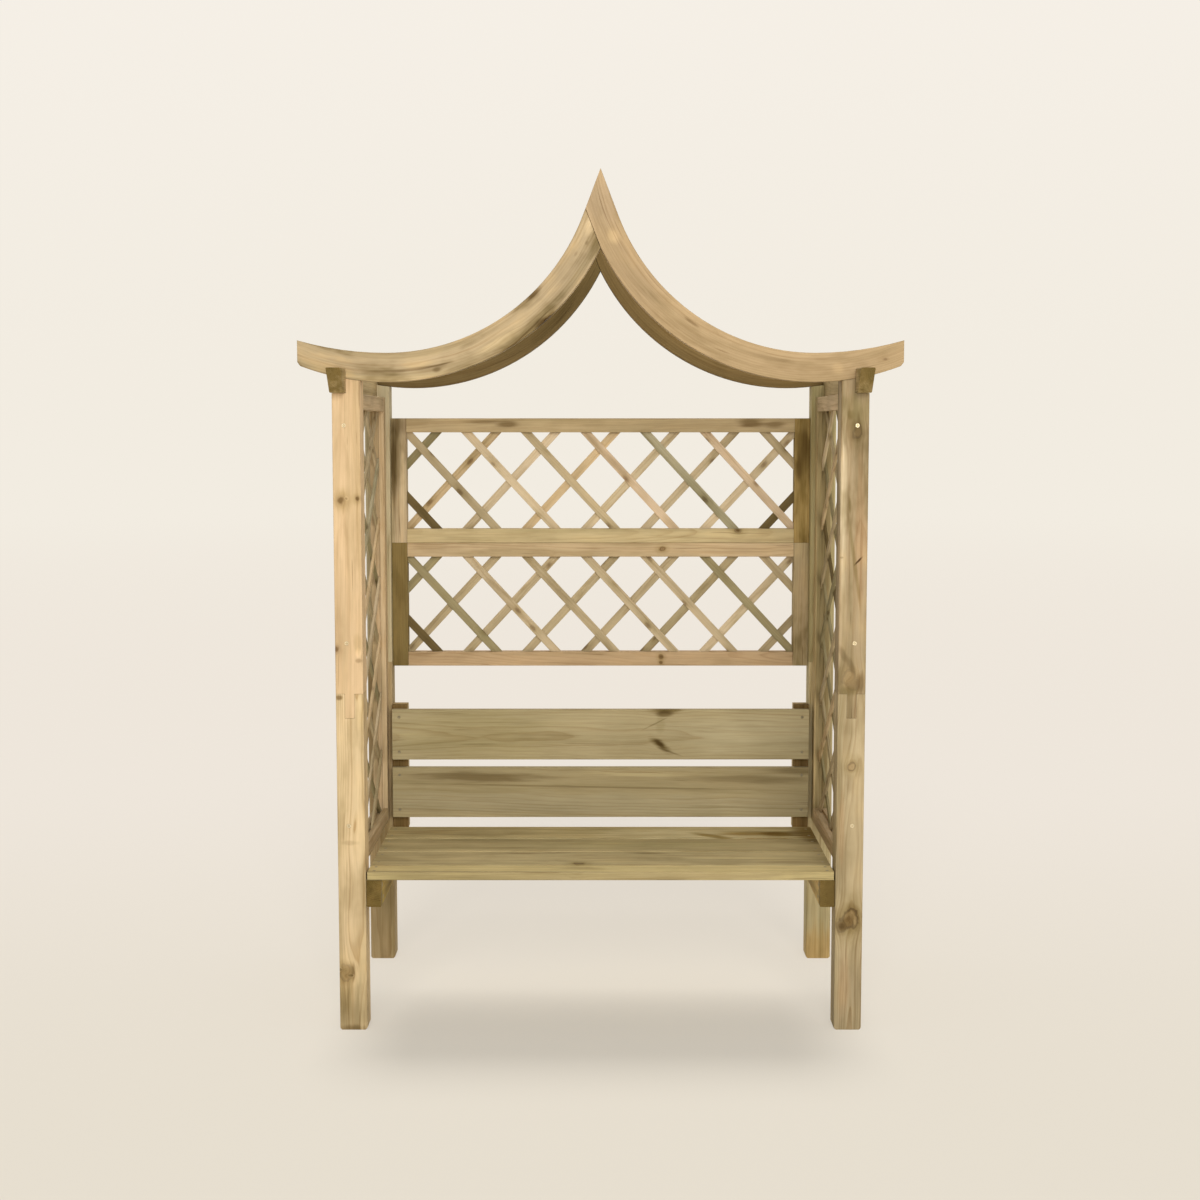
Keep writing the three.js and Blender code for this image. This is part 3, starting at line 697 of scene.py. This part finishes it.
timber(
    "seat_board_3", "x", (202, 184, 135), (5, -60),
    swirl((410, 92, SEAT_TOP), (34, 60, 150)), swirl((-300, 120, SEAT_TOP), (26, 50, 120)),
    mark((594, 100, SEAT_TOP), (120, 30, 62), 1.0, (0.46, 0.38, 0.23)),
    mark((494, 90, SEAT_TOP), (36, 30, 60), 1.0, (0.48, 0.39, 0.2)),
    mark((420, 96, SEAT_TOP), (30, 30, 110), 1.0, (0.58, 0.48, 0.29)),
    mark((310, 68, SEAT_TOP), (25, 30, 64), 1.0, (0.52, 0.45, 0.28), lean=(-0.6, 0)),
    mark((250, 80, SEAT_TOP), (110, 30, 260), 0.8, (1.22, 1.28, 1.45)),
    mark((-380, 110, SEAT_TOP), (60, 30, 200), 0.35),
    # Painted shade: a band along the board's front arris darkens its lit edge in the gap behind board 2.
    mark((0, 40, 408), (6, 16, 3000), 1.0, (0.72, 0.72, 0.68)),
    ring=7.0, rings=1.0, streaks=0.3, blotches=0.25, ease=2.0,
)
timber(
    "upper_back_board", "x", (179, 163, 124), (60, -8),
    swirl((172, 640), (24, 13, 30)), swirl((190, 736), (24, 12, 40)),
    mark((172, 637), (30, 17, 34), 1.0, (0.46, 0.4, 0.28), lean=(0, -0.6)),
    mark((171, 639), (30, 11, 18), 1.0, (0.42, 0.36, 0.26), lean=(0, -0.6)),
    mark((195, 618), (30, 4, 40), 0.6, lean=(0, -0.35)),
    mark((190, 736), (30, 9, 52), 1.0, (0.52, 0.46, 0.33)), mark((184, 726), (30, 12, 26), 0.9),
    mark((172, 700), (30, 30, 14), 0.3, OLIVE_TINT), mark((160, 700), (30, 3, 40), 0.5, lean=(0, 0.5)),
    mark((420, 666), (30, 60, 260), 0.8, (1.08, 1.11, 1.18)),
    mark((-360, 666), (30, 90, 260), 0.8, (0.97, 0.97, 0.88)),
    ring=6.0, streaks=0.25, blotches=0.12,
)
timber(
    "lower_back_board", "x", (169, 153, 114), (75, 26),
    mark((-340, 543), (30, 16, 200), 0.75), mark((420, 536), (30, 13, 240), 0.5),
    mark((0, 514), (30, 3.5, 560), 0.5), mark((560, 560), (30, 12, 90), 0.6),
    mark((0, 462), (30, 36, 900), 0.9, (1.02, 1.06, 1.16)), mark((100, 552), (30, 10, 200), 0.5, PALE),
    ring=6.0, streaks=0.25, blotches=0.1,
)
panel_timber(
    "upper_rear_panel_top_rail", "x", (191, 167, 126), (30, -20),
    mark((300, 1550), (60, 60, 330), 0.9, (0.87, 0.87, 0.86)), mark((-264, 1554), (30, 10, 36), 0.8),
    mark((433, 1556), (30, 16, 44), 0.85), mark((496, 1552), (30, 12, 34), 0.7),
    mark((-330, 1560), (30, 7, 60), 0.5),
    streaks=0.35, blotches=0.25,
)
panel_timber(
    "upper_rear_panel_bottom_rail", "x", (197, 176, 132), (40, 10),
    knot((395, 1250), (20, 7, 9), 0.9),
    streaks=0.35, blotches=0.25,
)
panel_timber(
    "lower_rear_panel_top_rail", "x", RAIL, (36, -14),
    knot((177, 1196), (20, 5, 7), 0.4),
    streaks=0.4,
)
panel_timber(
    "lower_rear_panel_bottom_rail", "x", (191, 162, 124), (32, 16),
    knot((175, 884), (20, 5, 5), 0.6), knot((175, 868), (20, 4, 4), 0.6),
    mark((175, 878), (30, 18, 9), 0.5, OLIVE_TINT),
    streaks=0.4,
)
panel_timber(
    "upper_rear_panel_left_stile", "z", (195, 173, 138), (24, 30),
    mark((-592, 1440), (9, 30, 150), 0.9), mark((-566, 1390), (8, 30, 130), 0.6, PALE),
    mark((-580, 1550), (30, 30, 30), 0.6),
    streaks=0.6, blotches=0.8,
)
panel_timber("lower_rear_panel_left_stile", "z", (133, 113, 68), (30, 30), blotches=0.5)
panel_timber(
    "upper_rear_panel_right_stile", "z", (163, 137, 84), (30, 24),
    mark((585, 1490), (16, 30, 60), 0.6), mark((568, 1430), (12, 30, 40), 0.6),
    mark((582, 1300), (26, 30, 100), 0.9, (1.35, 1.38, 1.42)),
    blotches=0.8,
)
panel_timber(
    "lower_rear_panel_right_stile", "z", (186, 165, 126), (28, 26),
    mark((580, 1040), (20, 30, 160), 0.5, (1.1, 1.02, 1.04)),
    blotches=0.8,
)

# The bearers' bases are lightened above the timber's own colour: painted light on their shaded inner
# sides. end_darkening takes both ends back down.
for side, sign, base, end_darkening in (
    ("left", -1, (183, 155, 79), (0.57, 0.59, 0.87)), ("right", 1, (220, 190, 122), (0.37, 0.37, 0.35)),
):
    timber(
        f"{side}_seat_bearer", "y", base, (-20 * sign, 34),
        knot((562 * sign, -40, 352), (40, 8, 60), 0.4, 0.7),
        swirl((562 * sign, 60, 350), (40, 14, 110)),
        *[mark((581 * sign, end, 355), (200, 200, 34), 1.0, end_darkening) for end in (-345, 345)],
        mark((562 * sign, -120, 334), (40, 14, 150), 0.5),
        rings=0.9, streaks=0.4,
    )
    timber(
        f"{side}_back_batten", "z", OLIVE, (30, 20),
        # Painted shade: the batten's front face, in shade behind the back boards, is darkened.
        mark((578 * sign, 268, 570), (ALL_ACROSS, 18, ALL_ALONG), 1.0, (0.39, 0.32, 0.22)),
    )
    covered = (ALL_ACROSS, ALL_ACROSS, 110)
    timber(
        f"{side}_eaves_rail", "y", OLIVE, (30, 20),
        *[mark((650 * sign, end, 1640), covered, 1.0, (0.51, 0.475, 0.32)) for end in (-475, 475)],
        streaks=0.4,
    )
panel_timber(
    "right_side_panel_rear_stile", "z", (161, 142, 101), (30, 30),
    # Painted light: the stile's inner face is lightened along its whole length.
    mark((610, 258, 1020), (5, 600, ALL_ALONG), 1.0, (1.5, 1.49, 1.55)),
)
timber("rear_left_post_lower", "z", (178, 155, 115), (10, 10), rings=0.6)
timber(
    "rear_right_post_lower", "z", (193, 177, 135), (-10, 8),
    mark((637, 280, 14), (80, 80, 90), 1.0, (1.04, 0.88, 0.68)),
    rings=0.6,
)
timber("rear_left_post_upper", "z", (199, 184, 148), (20, 40))
# Its base is lightened: painted light against the shadow that the front right post casts on it.
timber("rear_right_post_upper", "z", (191, 176, 130), (-20, 40))
timber("cleat", "y", OLIVE, (20, 20))
panel_timber("stile", "z", RAIL, (30, 30))
panel_timber("side_panel", "y", RAIL, (30, -20))


def look_of(name):
    """The first look whose name is all or part of the piece's."""
    return dict(next(look for part, look in looks.items() if part in name))


def dress_timber():
    for name in sorted(nodes):
        if name.endswith("_lattice") or "screw" in name:
            continue
        look = look_of(name)
        grain = Grain(name, look.pop("axis"), look.pop("pith"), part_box(name))
        width = MM * look.pop("ease", EASE)
        dress(name, grain, pine(f"{name}_pine", look.pop("base"), grain, **look), width)


# Trellis slats, each one a strip of its own

PANEL_THICKNESS = 40 * MM
SLAT_WIDTH = 23 * MM
SLAT_THICKNESS = 6 * MM
SLAT_BITE = 0.5 * MM
SLAT_HOUSING = 7 * MM
SLAT_EASE = 0.9 * MM
DIAMOND_HALF_WIDTH = 85.5 * MM
DIAMOND_HALF_HEIGHT = 92.46 * MM
SIDE_DIAMOND_SHARE = 0.25  # half a diamond, of the opening of a side panel
SIDE_DIAMOND_HALF_HEIGHT = 83.4 * MM
SLAT_PITH_ASIDE = 0.03
SLAT_PITH_DEPTH = (0.015, 0.06)
SLAT_SHIFT = 60

slat_shades = {
    "pale": (218, 196, 163), "light": (209, 188, 153), "gold": (206, 180, 139), "pink": (211, 186, 153),
    "tan": (197, 177, 142), "olive": (185, 166, 130), "grey": (178, 167, 135), "dull": (157, 144, 107),
    "dark": (112, 95, 60),
}

# The slats that rise at slant 1 and fall at slant -1, from the left one of a panel to the right
# In the side panels the rear layer, slant -1, has mostly darker shades: partly the slats' own tones,
# partly painted shade between the layers.
slat_colours = {
    ("upper_rear_panel", -1): "dark olive light olive pink grey pink olive",
    ("upper_rear_panel", 1): "dull gold pale gold light tan light dark",
    ("lower_rear_panel", -1): "dark dull tan olive tan tan dull olive",
    ("lower_rear_panel", 1): "dull olive tan olive olive olive light olive",
    ("left_side_panel", -1): "tan dull olive dull olive dull olive tan",
    ("left_side_panel", 1): "olive olive grey gold light gold tan olive",
    ("right_side_panel", -1): "dull olive dull dull dark dull olive dull",
    ("right_side_panel", 1): "light gold olive dull olive gold olive tan",
}


def panel_frame(panel):
    """The matrix of a panel's own frame (x along it, y face to back, z up) and its opening."""
    rear = "rear" in panel
    stiles = ("left", "right") if rear else ("front", "rear")
    left, right = [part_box(f"{panel}_{end}_stile") for end in stiles]
    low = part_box(f"{panel}_bottom_rail")[1].z
    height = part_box(f"{panel}_top_rail")[0].z - low
    along = 0 if rear else 1
    width = right[0][along] - left[1][along]
    middle = (right[0][along] + left[1][along]) / 2
    if rear:
        return Matrix.Translation((middle, left[0].y, low)), width, height
    sign = -1 if panel.startswith("left") else 1
    face = left[0].x if sign > 0 else left[1].x
    turn = Matrix.Rotation(-sign * math.pi / 2, 4, "Z")
    return Matrix.Translation((face, middle, low)) @ turn, width, height


def weave(panel, width):
    """Half the width and height of a panel's diamonds, and the slant of its front slats."""
    if "rear" in panel:
        return DIAMOND_HALF_WIDTH, DIAMOND_HALF_HEIGHT, -1
    return width * SIDE_DIAMOND_SHARE, SIDE_DIAMOND_HALF_HEIGHT, 1


def clip(bm, place, normal):
    geometry = bm.verts[:] + bm.edges[:] + bm.faces[:]
    bmesh.ops.bisect_plane(
        bm, geom=geometry, dist=WELD, plane_co=place, plane_no=normal, clear_outer=True,
    )
    bmesh.ops.holes_fill(bm, edges=bm.edges)


def slat_solid(panel, slant, line, front, width, height):
    """One slat in the panel's frame, cut off inside the grooves, or None."""
    reach = math.hypot(width, height) * 2
    half_width, half_height, _ = weave(panel, width)
    angle = math.atan2(half_height, half_width) * slant
    bm = bmesh.new()
    bmesh.ops.create_cube(bm, size=1.0)
    size = Matrix.Diagonal((reach, SLAT_THICKNESS, SLAT_WIDTH, 1))
    turn = Matrix.Rotation(-angle, 4, "Y")
    shift = Matrix.Translation((line * half_width, front + SLAT_THICKNESS / 2, height / 2))
    bmesh.ops.transform(bm, matrix=shift @ turn @ size, verts=bm.verts)
    side = width / 2 + SLAT_HOUSING
    clip(bm, (side, 0, 0), (1, 0, 0))
    clip(bm, (-side, 0, 0), (-1, 0, 0))
    clip(bm, (0, 0, -SLAT_HOUSING), (0, 0, -1))
    clip(bm, (0, 0, height + SLAT_HOUSING), (0, 0, 1))
    if not bm.faces:
        bm.free()
        return None, angle
    ease(bm, sharp_edges(bm), SLAT_EASE)
    return bm, angle


def lattice(panel, material):
    """The slats of one panel as one piece; each slat has its own grain and tint."""
    draw = random.Random(panel)
    place, width, height = panel_frame(panel)
    middle = PANEL_THICKNESS / 2
    half_width, half_height, near_slant = weave(panel, width)
    fronts = {near_slant: middle - SLAT_THICKNESS + SLAT_BITE / 2, -near_slant: middle - SLAT_BITE / 2}
    reach = math.floor(width / 2 / half_width + height / 2 / half_height)
    corners, faces, grains, tints = [], [], [], []
    for slant, front in fronts.items():
        shades = slat_colours[panel, slant].split()
        for line in [line for line in range(-reach, reach + 1) if line % 2]:
            bm, angle = slat_solid(panel, slant, line, front, width, height)
            tint = colour(*slat_shades[shades[(line + len(shades)) // 2 % len(shades)]])
            aside = draw.uniform(-SLAT_PITH_ASIDE, SLAT_PITH_ASIDE)
            deep = draw.choice((-1, 1)) * draw.uniform(*SLAT_PITH_DEPTH)
            shift = draw.uniform(0, SLAT_SHIFT)
            if bm is None:
                continue
            way = Vector((math.cos(angle), 0, math.sin(angle)))
            side = Vector((-way.z, 0, way.x))
            centre = Vector((line * half_width, front, height / 2))
            bm.verts.index_update()
            first = len(corners)
            for vert in bm.verts:
                offset = vert.co - centre
                grains.append((offset.dot(side) - aside, offset.y - deep, offset.dot(way) + shift))
                tints.append(tint)
                corners.append(place @ vert.co)
            faces += [[first + v.index for v in face.verts] for face in bm.faces]
            bm.free()
    mesh = bpy.data.meshes.new(f"{panel}_slats")
    mesh.from_pydata(corners, [], faces)
    write_attribute(mesh, "grain", "FLOAT_VECTOR", "POINT", grains, 3)
    write_attribute(mesh, "tint", "FLOAT_COLOR", "POINT", tints, 4)
    smooth(mesh)
    mesh.materials.append(material)
    piece = add_object(f"{panel}_slats", mesh)
    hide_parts(f"{panel}_lattice")
    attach(piece, "root")


def add_lattices():
    material = pine(
        "slat_pine", None, ring=3.2, rings=0.45, streaks=0.4, blotches=0.35, checks=0.3, specks=0.7,
    )
    staples = steel("staple_steel", colour(150, 146, 138), 0.4)
    for panel in ("upper_rear_panel", "lower_rear_panel", "left_side_panel", "right_side_panel"):
        lattice(panel, material)
        add_staples(panel, staples)


# Screws and staples

SCREW_SPOKES = 32
SCREW_RINGS = 10
SCREW_CREASE = math.radians(38)
RECESS_REACH = 0.62  # of the head's radius
RECESS_HALF_WIDTH = 0.15
RECESS_SIDE = 0.07  # how far its sides and its ends slope
RECESS_END = 0.22
HEAD_FACE = 0.93  # of the head's radius
RIM_DEPTH = 0.12
TIP_LENGTH = 3  # in radii of the shank
DULLED = 0.62
PROUD = 0.4 * MM
SCREW_INSET = 35 * MM
CLEAT_END = 15 * MM  # the last screw's distance from the end of the cleat
BOARD_INSET = 0.22  # of a board's width
PAIR_SLANT = (9 * MM, 18 * MM)  # half the step between two screws side by side, and up

STAPLE_LENGTH = 9 * MM
STAPLE_WIDTH = 1.3 * MM
STAPLE_PROUD = 0.5 * MM
STAPLE_EASE = 0.3 * MM
STAPLE_TURN = 0.5

SEAT_BOARDS = ("seat_front_board", "seat_board_1", "seat_board_2", "seat_board_3")
SEAT_CLEAT = "seat_centre_cleat"


def steel(name, base, roughness, metallic=0.75):
    """Plated steel, dulled and scuffed."""
    material, tree, shader = new_material(name)
    scuff = tree.noise(tree.place(), (900, 900, 900), 3.0, 0.6)
    dull = (*[DULLED * c for c in base[:3]], 1.0)
    tree.feed(shader, {
        "Base Color": tree.mix(tree.between(scuff, 0.35, 0.7), base, dull), "Metallic": metallic,
        "Roughness": tree.between(scuff, 0.3, 0.7, roughness, roughness + 0.25),
        "Normal": tree.bump(scuff, 0.15, 0.1 * MM),
    })
    return material


def recess(x, y):
    """Depth of the cross recess at a point of a head of radius 1, from 0 to 1."""
    return max(
        clamped((RECESS_HALF_WIDTH - across) / RECESS_SIDE + 0.5)
        * clamped((RECESS_REACH - along) / RECESS_END)
        for along, across in ((abs(x), abs(y)), (abs(y), abs(x)))
    )


def screw_mesh(name, sizes, material):
    """A countersunk screw with a cross recess. It faces -Y, and its rim is at the origin.

    The sizes, in mm, are the radius of its head and shank, its length, and the recess's depth.
    """
    head, shank, length, deep = [MM * size for size in sizes]
    rings = [((i + 1) / SCREW_RINGS * head * HEAD_FACE, None) for i in range(SCREW_RINGS)]
    rings += [(head, RIM_DEPTH * head), (shank, head - shank), (shank, length - TIP_LENGTH * shank)]
    bm = bmesh.new()
    middle = bm.verts.new((0, deep, 0))
    rows = []
    for radius, depth in rings:
        row = []
        for i in range(SCREW_SPOKES):
            turn = 2 * math.pi * i / SCREW_SPOKES
            x, z = radius * math.cos(turn), radius * math.sin(turn)
            y = deep * recess(x / head, z / head) if depth is None else depth
            row.append(bm.verts.new((x, y, z)))
        rows.append(row)
    tip = bm.verts.new((0, length, 0))
    for i in range(SCREW_SPOKES):
        after = (i + 1) % SCREW_SPOKES
        bm.faces.new((middle, rows[0][i], rows[0][after]))
        for near, far in zip(rows, rows[1:]):
            bm.faces.new((near[i], far[i], far[after], near[after]))
        bm.faces.new((rows[-1][after], rows[-1][i], tip))
    bmesh.ops.recalc_face_normals(bm, faces=bm.faces)
    mesh = mesh_of(name, bm, material)
    smooth(mesh, SCREW_CREASE)
    return mesh


def screw_in_node(name, mesh, turn):
    low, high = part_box(name)
    piece = add_object(f"{name}_head", mesh)
    piece.location = ((low.x + high.x) / 2, low.y, (low.z + high.z) / 2)
    piece.rotation_euler = (0, turn, 0)
    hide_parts(name)
    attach(piece, "root")


def joined_screws(name, mesh, places):
    """Several screws as one piece. A place is a point and the way the head faces."""
    draw = random.Random(name)
    bm = bmesh.new()
    for point, facing in places:
        start = len(bm.verts)
        bm.from_mesh(mesh)
        bm.verts.ensure_lookup_table()
        facing = Vector(facing)
        turned = (-facing).to_track_quat("Y", "Z").to_matrix().to_4x4()
        spun = Matrix.Rotation(draw.uniform(0, math.pi), 4, "Y")
        move = Matrix.Translation(Vector(point) + facing * PROUD)
        bmesh.ops.transform(bm, matrix=move @ turned @ spun, verts=bm.verts[start:])
    piece = add_object(name, mesh_of(name, bm, mesh.materials[0]))
    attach(piece, "root")


def seat_screws():
    """Two at each end of each seat board, into the bearers."""
    low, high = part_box("right_seat_bearer")
    side = (low.x + high.x) / 2
    places = []
    for board in SEAT_BOARDS:
        low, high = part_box(board)
        inset = (high.y - low.y) * BOARD_INSET
        for x in (-side, side):
            places += [((x, y, high.z), (0, 0, 1)) for y in (low.y + inset, high.y - inset)]
    return places


def cleat_screws():
    """Two from below into each full board, through the cleat."""
    cleat_low, cleat_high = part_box(SEAT_CLEAT)
    last = cleat_high.y - CLEAT_END
    places = []
    for board in SEAT_BOARDS[1:]:
        low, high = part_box(board)
        for y in (low.y + SCREW_INSET, high.y - SCREW_INSET):
            places.append(((0, min(y, last), cleat_low.z), (0, 0, -1)))
    return places


def bearer_screws():
    """A pair from inside at each end of each bearer."""
    low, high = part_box("right_seat_bearer")
    aside, up = PAIR_SLANT
    return [
        ((sign * low.x, y + step * aside, (low.z + high.z) / 2 - step * up), (-sign, 0, 0))
        for sign in (-1, 1)
        for y in (low.y + SCREW_INSET, high.y - SCREW_INSET)
        for step in (-1, 1)
    ]


def rear_post_screws():
    """From behind, at the heights of the front posts' screws."""
    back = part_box("rear_right_post_upper")[1].y
    places = []
    for level in ("top", "middle", "low"):
        for side in ("left", "right"):
            low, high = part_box(f"front_{side}_post_screw_{level}")
            places.append((((low.x + high.x) / 2, back, (low.z + high.z) / 2), (0, 1, 0)))
    return places


def add_screws():
    draw = random.Random("screws")
    bright = steel("bright_zinc", colour(236, 218, 178), 0.4)
    # The board screws' zinc is darkened: painted shade of their countersunk holes.
    hole_shaded = steel("hole_shaded_zinc", colour(164, 150, 116), 0.6, 0.3)
    post_screw = screw_mesh("post_screw", (5.5, 2.6, 92, 2.2), bright)
    board_screw = screw_mesh("board_screw", (4.2, 2.2, 45, 1.8), hole_shaded)
    proud = screw_mesh("proud_screw", (4.2, 2.0, 20, 0.35), hole_shaded)
    large = screw_mesh("large_screw", (5.5, 2.6, 60, 0.35), hole_shaded)
    for name in sorted(nodes):
        if "_screw_" in name:
            kind = post_screw if "post" in name else board_screw
            screw_in_node(name, kind, draw.uniform(0, math.pi))
    joined_screws("seat_screws", proud, seat_screws())
    joined_screws("cleat_screws", proud, cleat_screws())
    joined_screws("bearer_screws", large, bearer_screws())
    joined_screws("rear_post_screws", large, rear_post_screws())


def add_staples(panel, material):
    """A staple across each crossing, on the back of the rear layer of slats."""
    draw = random.Random(panel + "_staples")
    place, width, height = panel_frame(panel)
    back = PANEL_THICKNESS / 2 - SLAT_BITE / 2 + SLAT_THICKNESS
    half_width, half_height, _ = weave(panel, width)
    columns = math.floor(width / 2 / half_width)
    rows = math.floor(height / 2 / half_height)
    size = Matrix.Diagonal((STAPLE_LENGTH, 2 * STAPLE_PROUD, STAPLE_WIDTH, 1))
    bm = bmesh.new()
    for i in range(-columns, columns + 1):
        for j in range(-rows, rows + 1):
            if (i + j) % 2 == 0:
                continue
            made = bmesh.ops.create_cube(bm, size=1.0)["verts"]
            turn = Matrix.Rotation(draw.uniform(-STAPLE_TURN, STAPLE_TURN), 4, "Y")
            move = Matrix.Translation((i * half_width, back, height / 2 + j * half_height))
            bmesh.ops.transform(bm, matrix=place @ move @ turn @ size, verts=made)
    ease(bm, bm.edges[:], STAPLE_EASE)
    mesh = mesh_of(f"{panel}_staples", bm, material)
    mesh.shade_smooth()
    piece = add_object(f"{panel}_staples", mesh)
    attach(piece, "root")


# Stage, light and camera

HORIZON = colour(242, 236, 225)
ZENITH = colour(246, 240, 231)
FLOOR_NEAR = colour(231, 223, 208)
FLOOR_FAR = colour(238, 230, 219)
FLOOR_RADIUS = 90
LIT_SHARE = 0.56  # of the floor's brightness near the object, so that shadows show on it
FLOOR_FADE = (-1.6, 3.0)  # from its near colour to its far one, by depth
HORIZON_FADE = (2.0, 30.0)  # and to the horizon's, by distance
SHADOW_FADE = (1.3, 4.5)
FLOOR_PLAIN = (0.6, 0.58, 0.54, 1)  # as it lights the object
WORLD_LIGHT = 0.5
KEY_LAMP = dict(place=(0.9, -5.2, 2.8), aim=(0, 0, 1.1), size=3.0, power=205)
REAR_LAMP = dict(place=(0, 3.7, 4.6), aim=(0, -0.2, 0.3), size=3.2, power=155)
REAR_SUN = dict(strength=2.8, height=math.radians(52), width=math.radians(30), turn=0)
FRONT_SUN = dict(strength=3.0, height=math.radians(22), width=math.radians(34), turn=math.pi)
FLOOR_LIGHT = WORLD_LIGHT + sum(
    sun["strength"] * math.sin(sun["height"]) / math.pi for sun in (REAR_SUN, FRONT_SUN)
)  # on a white floor

SENSOR = 36
FOCAL_LENGTH = 54.1
CAMERA_PLACE = (-0.0015, -4.8673, 1.539)
CAMERA_DOWN = math.radians(5.411)


def camera_ray(tree):
    return tree.add("LightPath").outputs["Is Camera Ray"]


def add_world():
    world = bpy.data.worlds.new("studio")
    world.use_nodes = True
    bpy.context.scene.world = world
    world.node_tree.nodes.clear()
    tree = Tree(world.node_tree)
    height = tree.part(tree.place("Generated"), "Z")
    sky = tree.mix(tree.between(height, 0.0, 0.3), HORIZON, ZENITH)
    seen = tree.first("Background", {"Color": sky, "Strength": 1.0})
    lit = tree.first("Background", {"Color": (1, 1, 1, 1), "Strength": WORLD_LIGHT})
    tree.add("OutputWorld", {0: tree.first("MixShader", {0: camera_ray(tree), 1: lit, 2: seen})})


def floor_paint():
    """Floor that the camera sees at its own colours, with shadows near the object."""
    material = bpy.data.materials.new("floor_paint")
    material.use_nodes = True
    material.node_tree.nodes.clear()
    tree = Tree(material.node_tree)
    place = tree.place()
    away = tree.vector("LENGTH", place)
    near = tree.mix(tree.between(tree.part(place, "Y"), *FLOOR_FADE), FLOOR_NEAR, FLOOR_FAR)
    paint = tree.mix(tree.between(away, *HORIZON_FADE), near, HORIZON)
    open_paint = tree.first("Emission", {"Color": paint, "Strength": 1.0})
    glow = tree.first("Emission", {"Color": paint, "Strength": 1 - LIT_SHARE})
    matt = tree.first("BsdfDiffuse", {"Color": tree.vector("SCALE", paint, LIT_SHARE / FLOOR_LIGHT)})
    near_paint = tree.first("AddShader", {0: glow, 1: matt})
    seen = tree.first("MixShader", {0: tree.between(away, *SHADOW_FADE), 1: near_paint, 2: open_paint})
    plain = tree.first("BsdfDiffuse", {"Color": FLOOR_PLAIN})
    tree.add("OutputMaterial", {0: tree.first("MixShader", {0: camera_ray(tree), 1: plain, 2: seen})})
    return material


def add_floor():
    bm = bmesh.new()
    bmesh.ops.create_circle(bm, cap_ends=True, segments=96, radius=FLOOR_RADIUS)
    floor = add_object("floor", mesh_of("floor", bm, floor_paint()))


def add_lamp(name, kind, place, rotation, state, **settings):
    """A lamp. State INCLUDE lights the floor alone, and EXCLUDE all but the floor."""
    lamp = bpy.data.lights.new(name, kind)
    for key, value in settings.items():
        setattr(lamp, key, value)
    holder = add_object(name, lamp)
    holder.location = place
    holder.rotation_euler = rotation
    lit = bpy.data.collections.new(f"{name}_lit")
    lit.objects.link(bpy.data.objects["floor"])
    holder.light_linking.receiver_collection = lit
    lit.collection_objects[0].light_linking.link_state = state
    return holder


def softbox(name, place, aim, size, power):
    """A round lamp that lights the object and leaves the floor to the suns."""
    rotation = (Vector(aim) - Vector(place)).to_track_quat("-Z", "Y").to_euler()
    add_lamp(name, "AREA", place, rotation, "EXCLUDE", shape="DISK", size=size, energy=power)


def floor_sun(name, strength, height, width, turn):
    """Sunlight that falls on the floor alone, from behind at turn 0. It returns its holder."""
    rotation = (height - math.pi / 2, 0, turn)
    return add_lamp(name, "SUN", (0, 0, 0), rotation, "INCLUDE", energy=strength, angle=width)


def add_lights():
    softbox("key", **KEY_LAMP)
    softbox("rear", **REAR_LAMP)
    floor_sun("front_sun", **FRONT_SUN)
    return floor_sun("rear_sun", **REAR_SUN)


def shade_from_seat(holder):
    """Only the seat's boards and cleat cast a shadow from this light."""
    casters = bpy.data.collections.new("seat_shadow")
    for name in (*SEAT_BOARDS, SEAT_CLEAT):
        casters.objects.link(bpy.data.objects[f"{name}_wood"])
    holder.light_linking.blocker_collection = casters


def add_camera():
    lens = bpy.data.cameras.new("camera")
    lens.sensor_width = SENSOR
    lens.lens = FOCAL_LENGTH
    camera = add_object("camera", lens)
    camera.location = CAMERA_PLACE
    camera.rotation_euler = (math.pi / 2 - CAMERA_DOWN, 0, 0)
    bpy.context.scene.camera = camera


add_camera()
add_world()
add_floor()
rear_sun = add_lights()
dress_timber()
add_lattices()
add_screws()
shade_from_seat(rear_sun)

bpy.context.scene.view_settings.view_transform = "Standard"
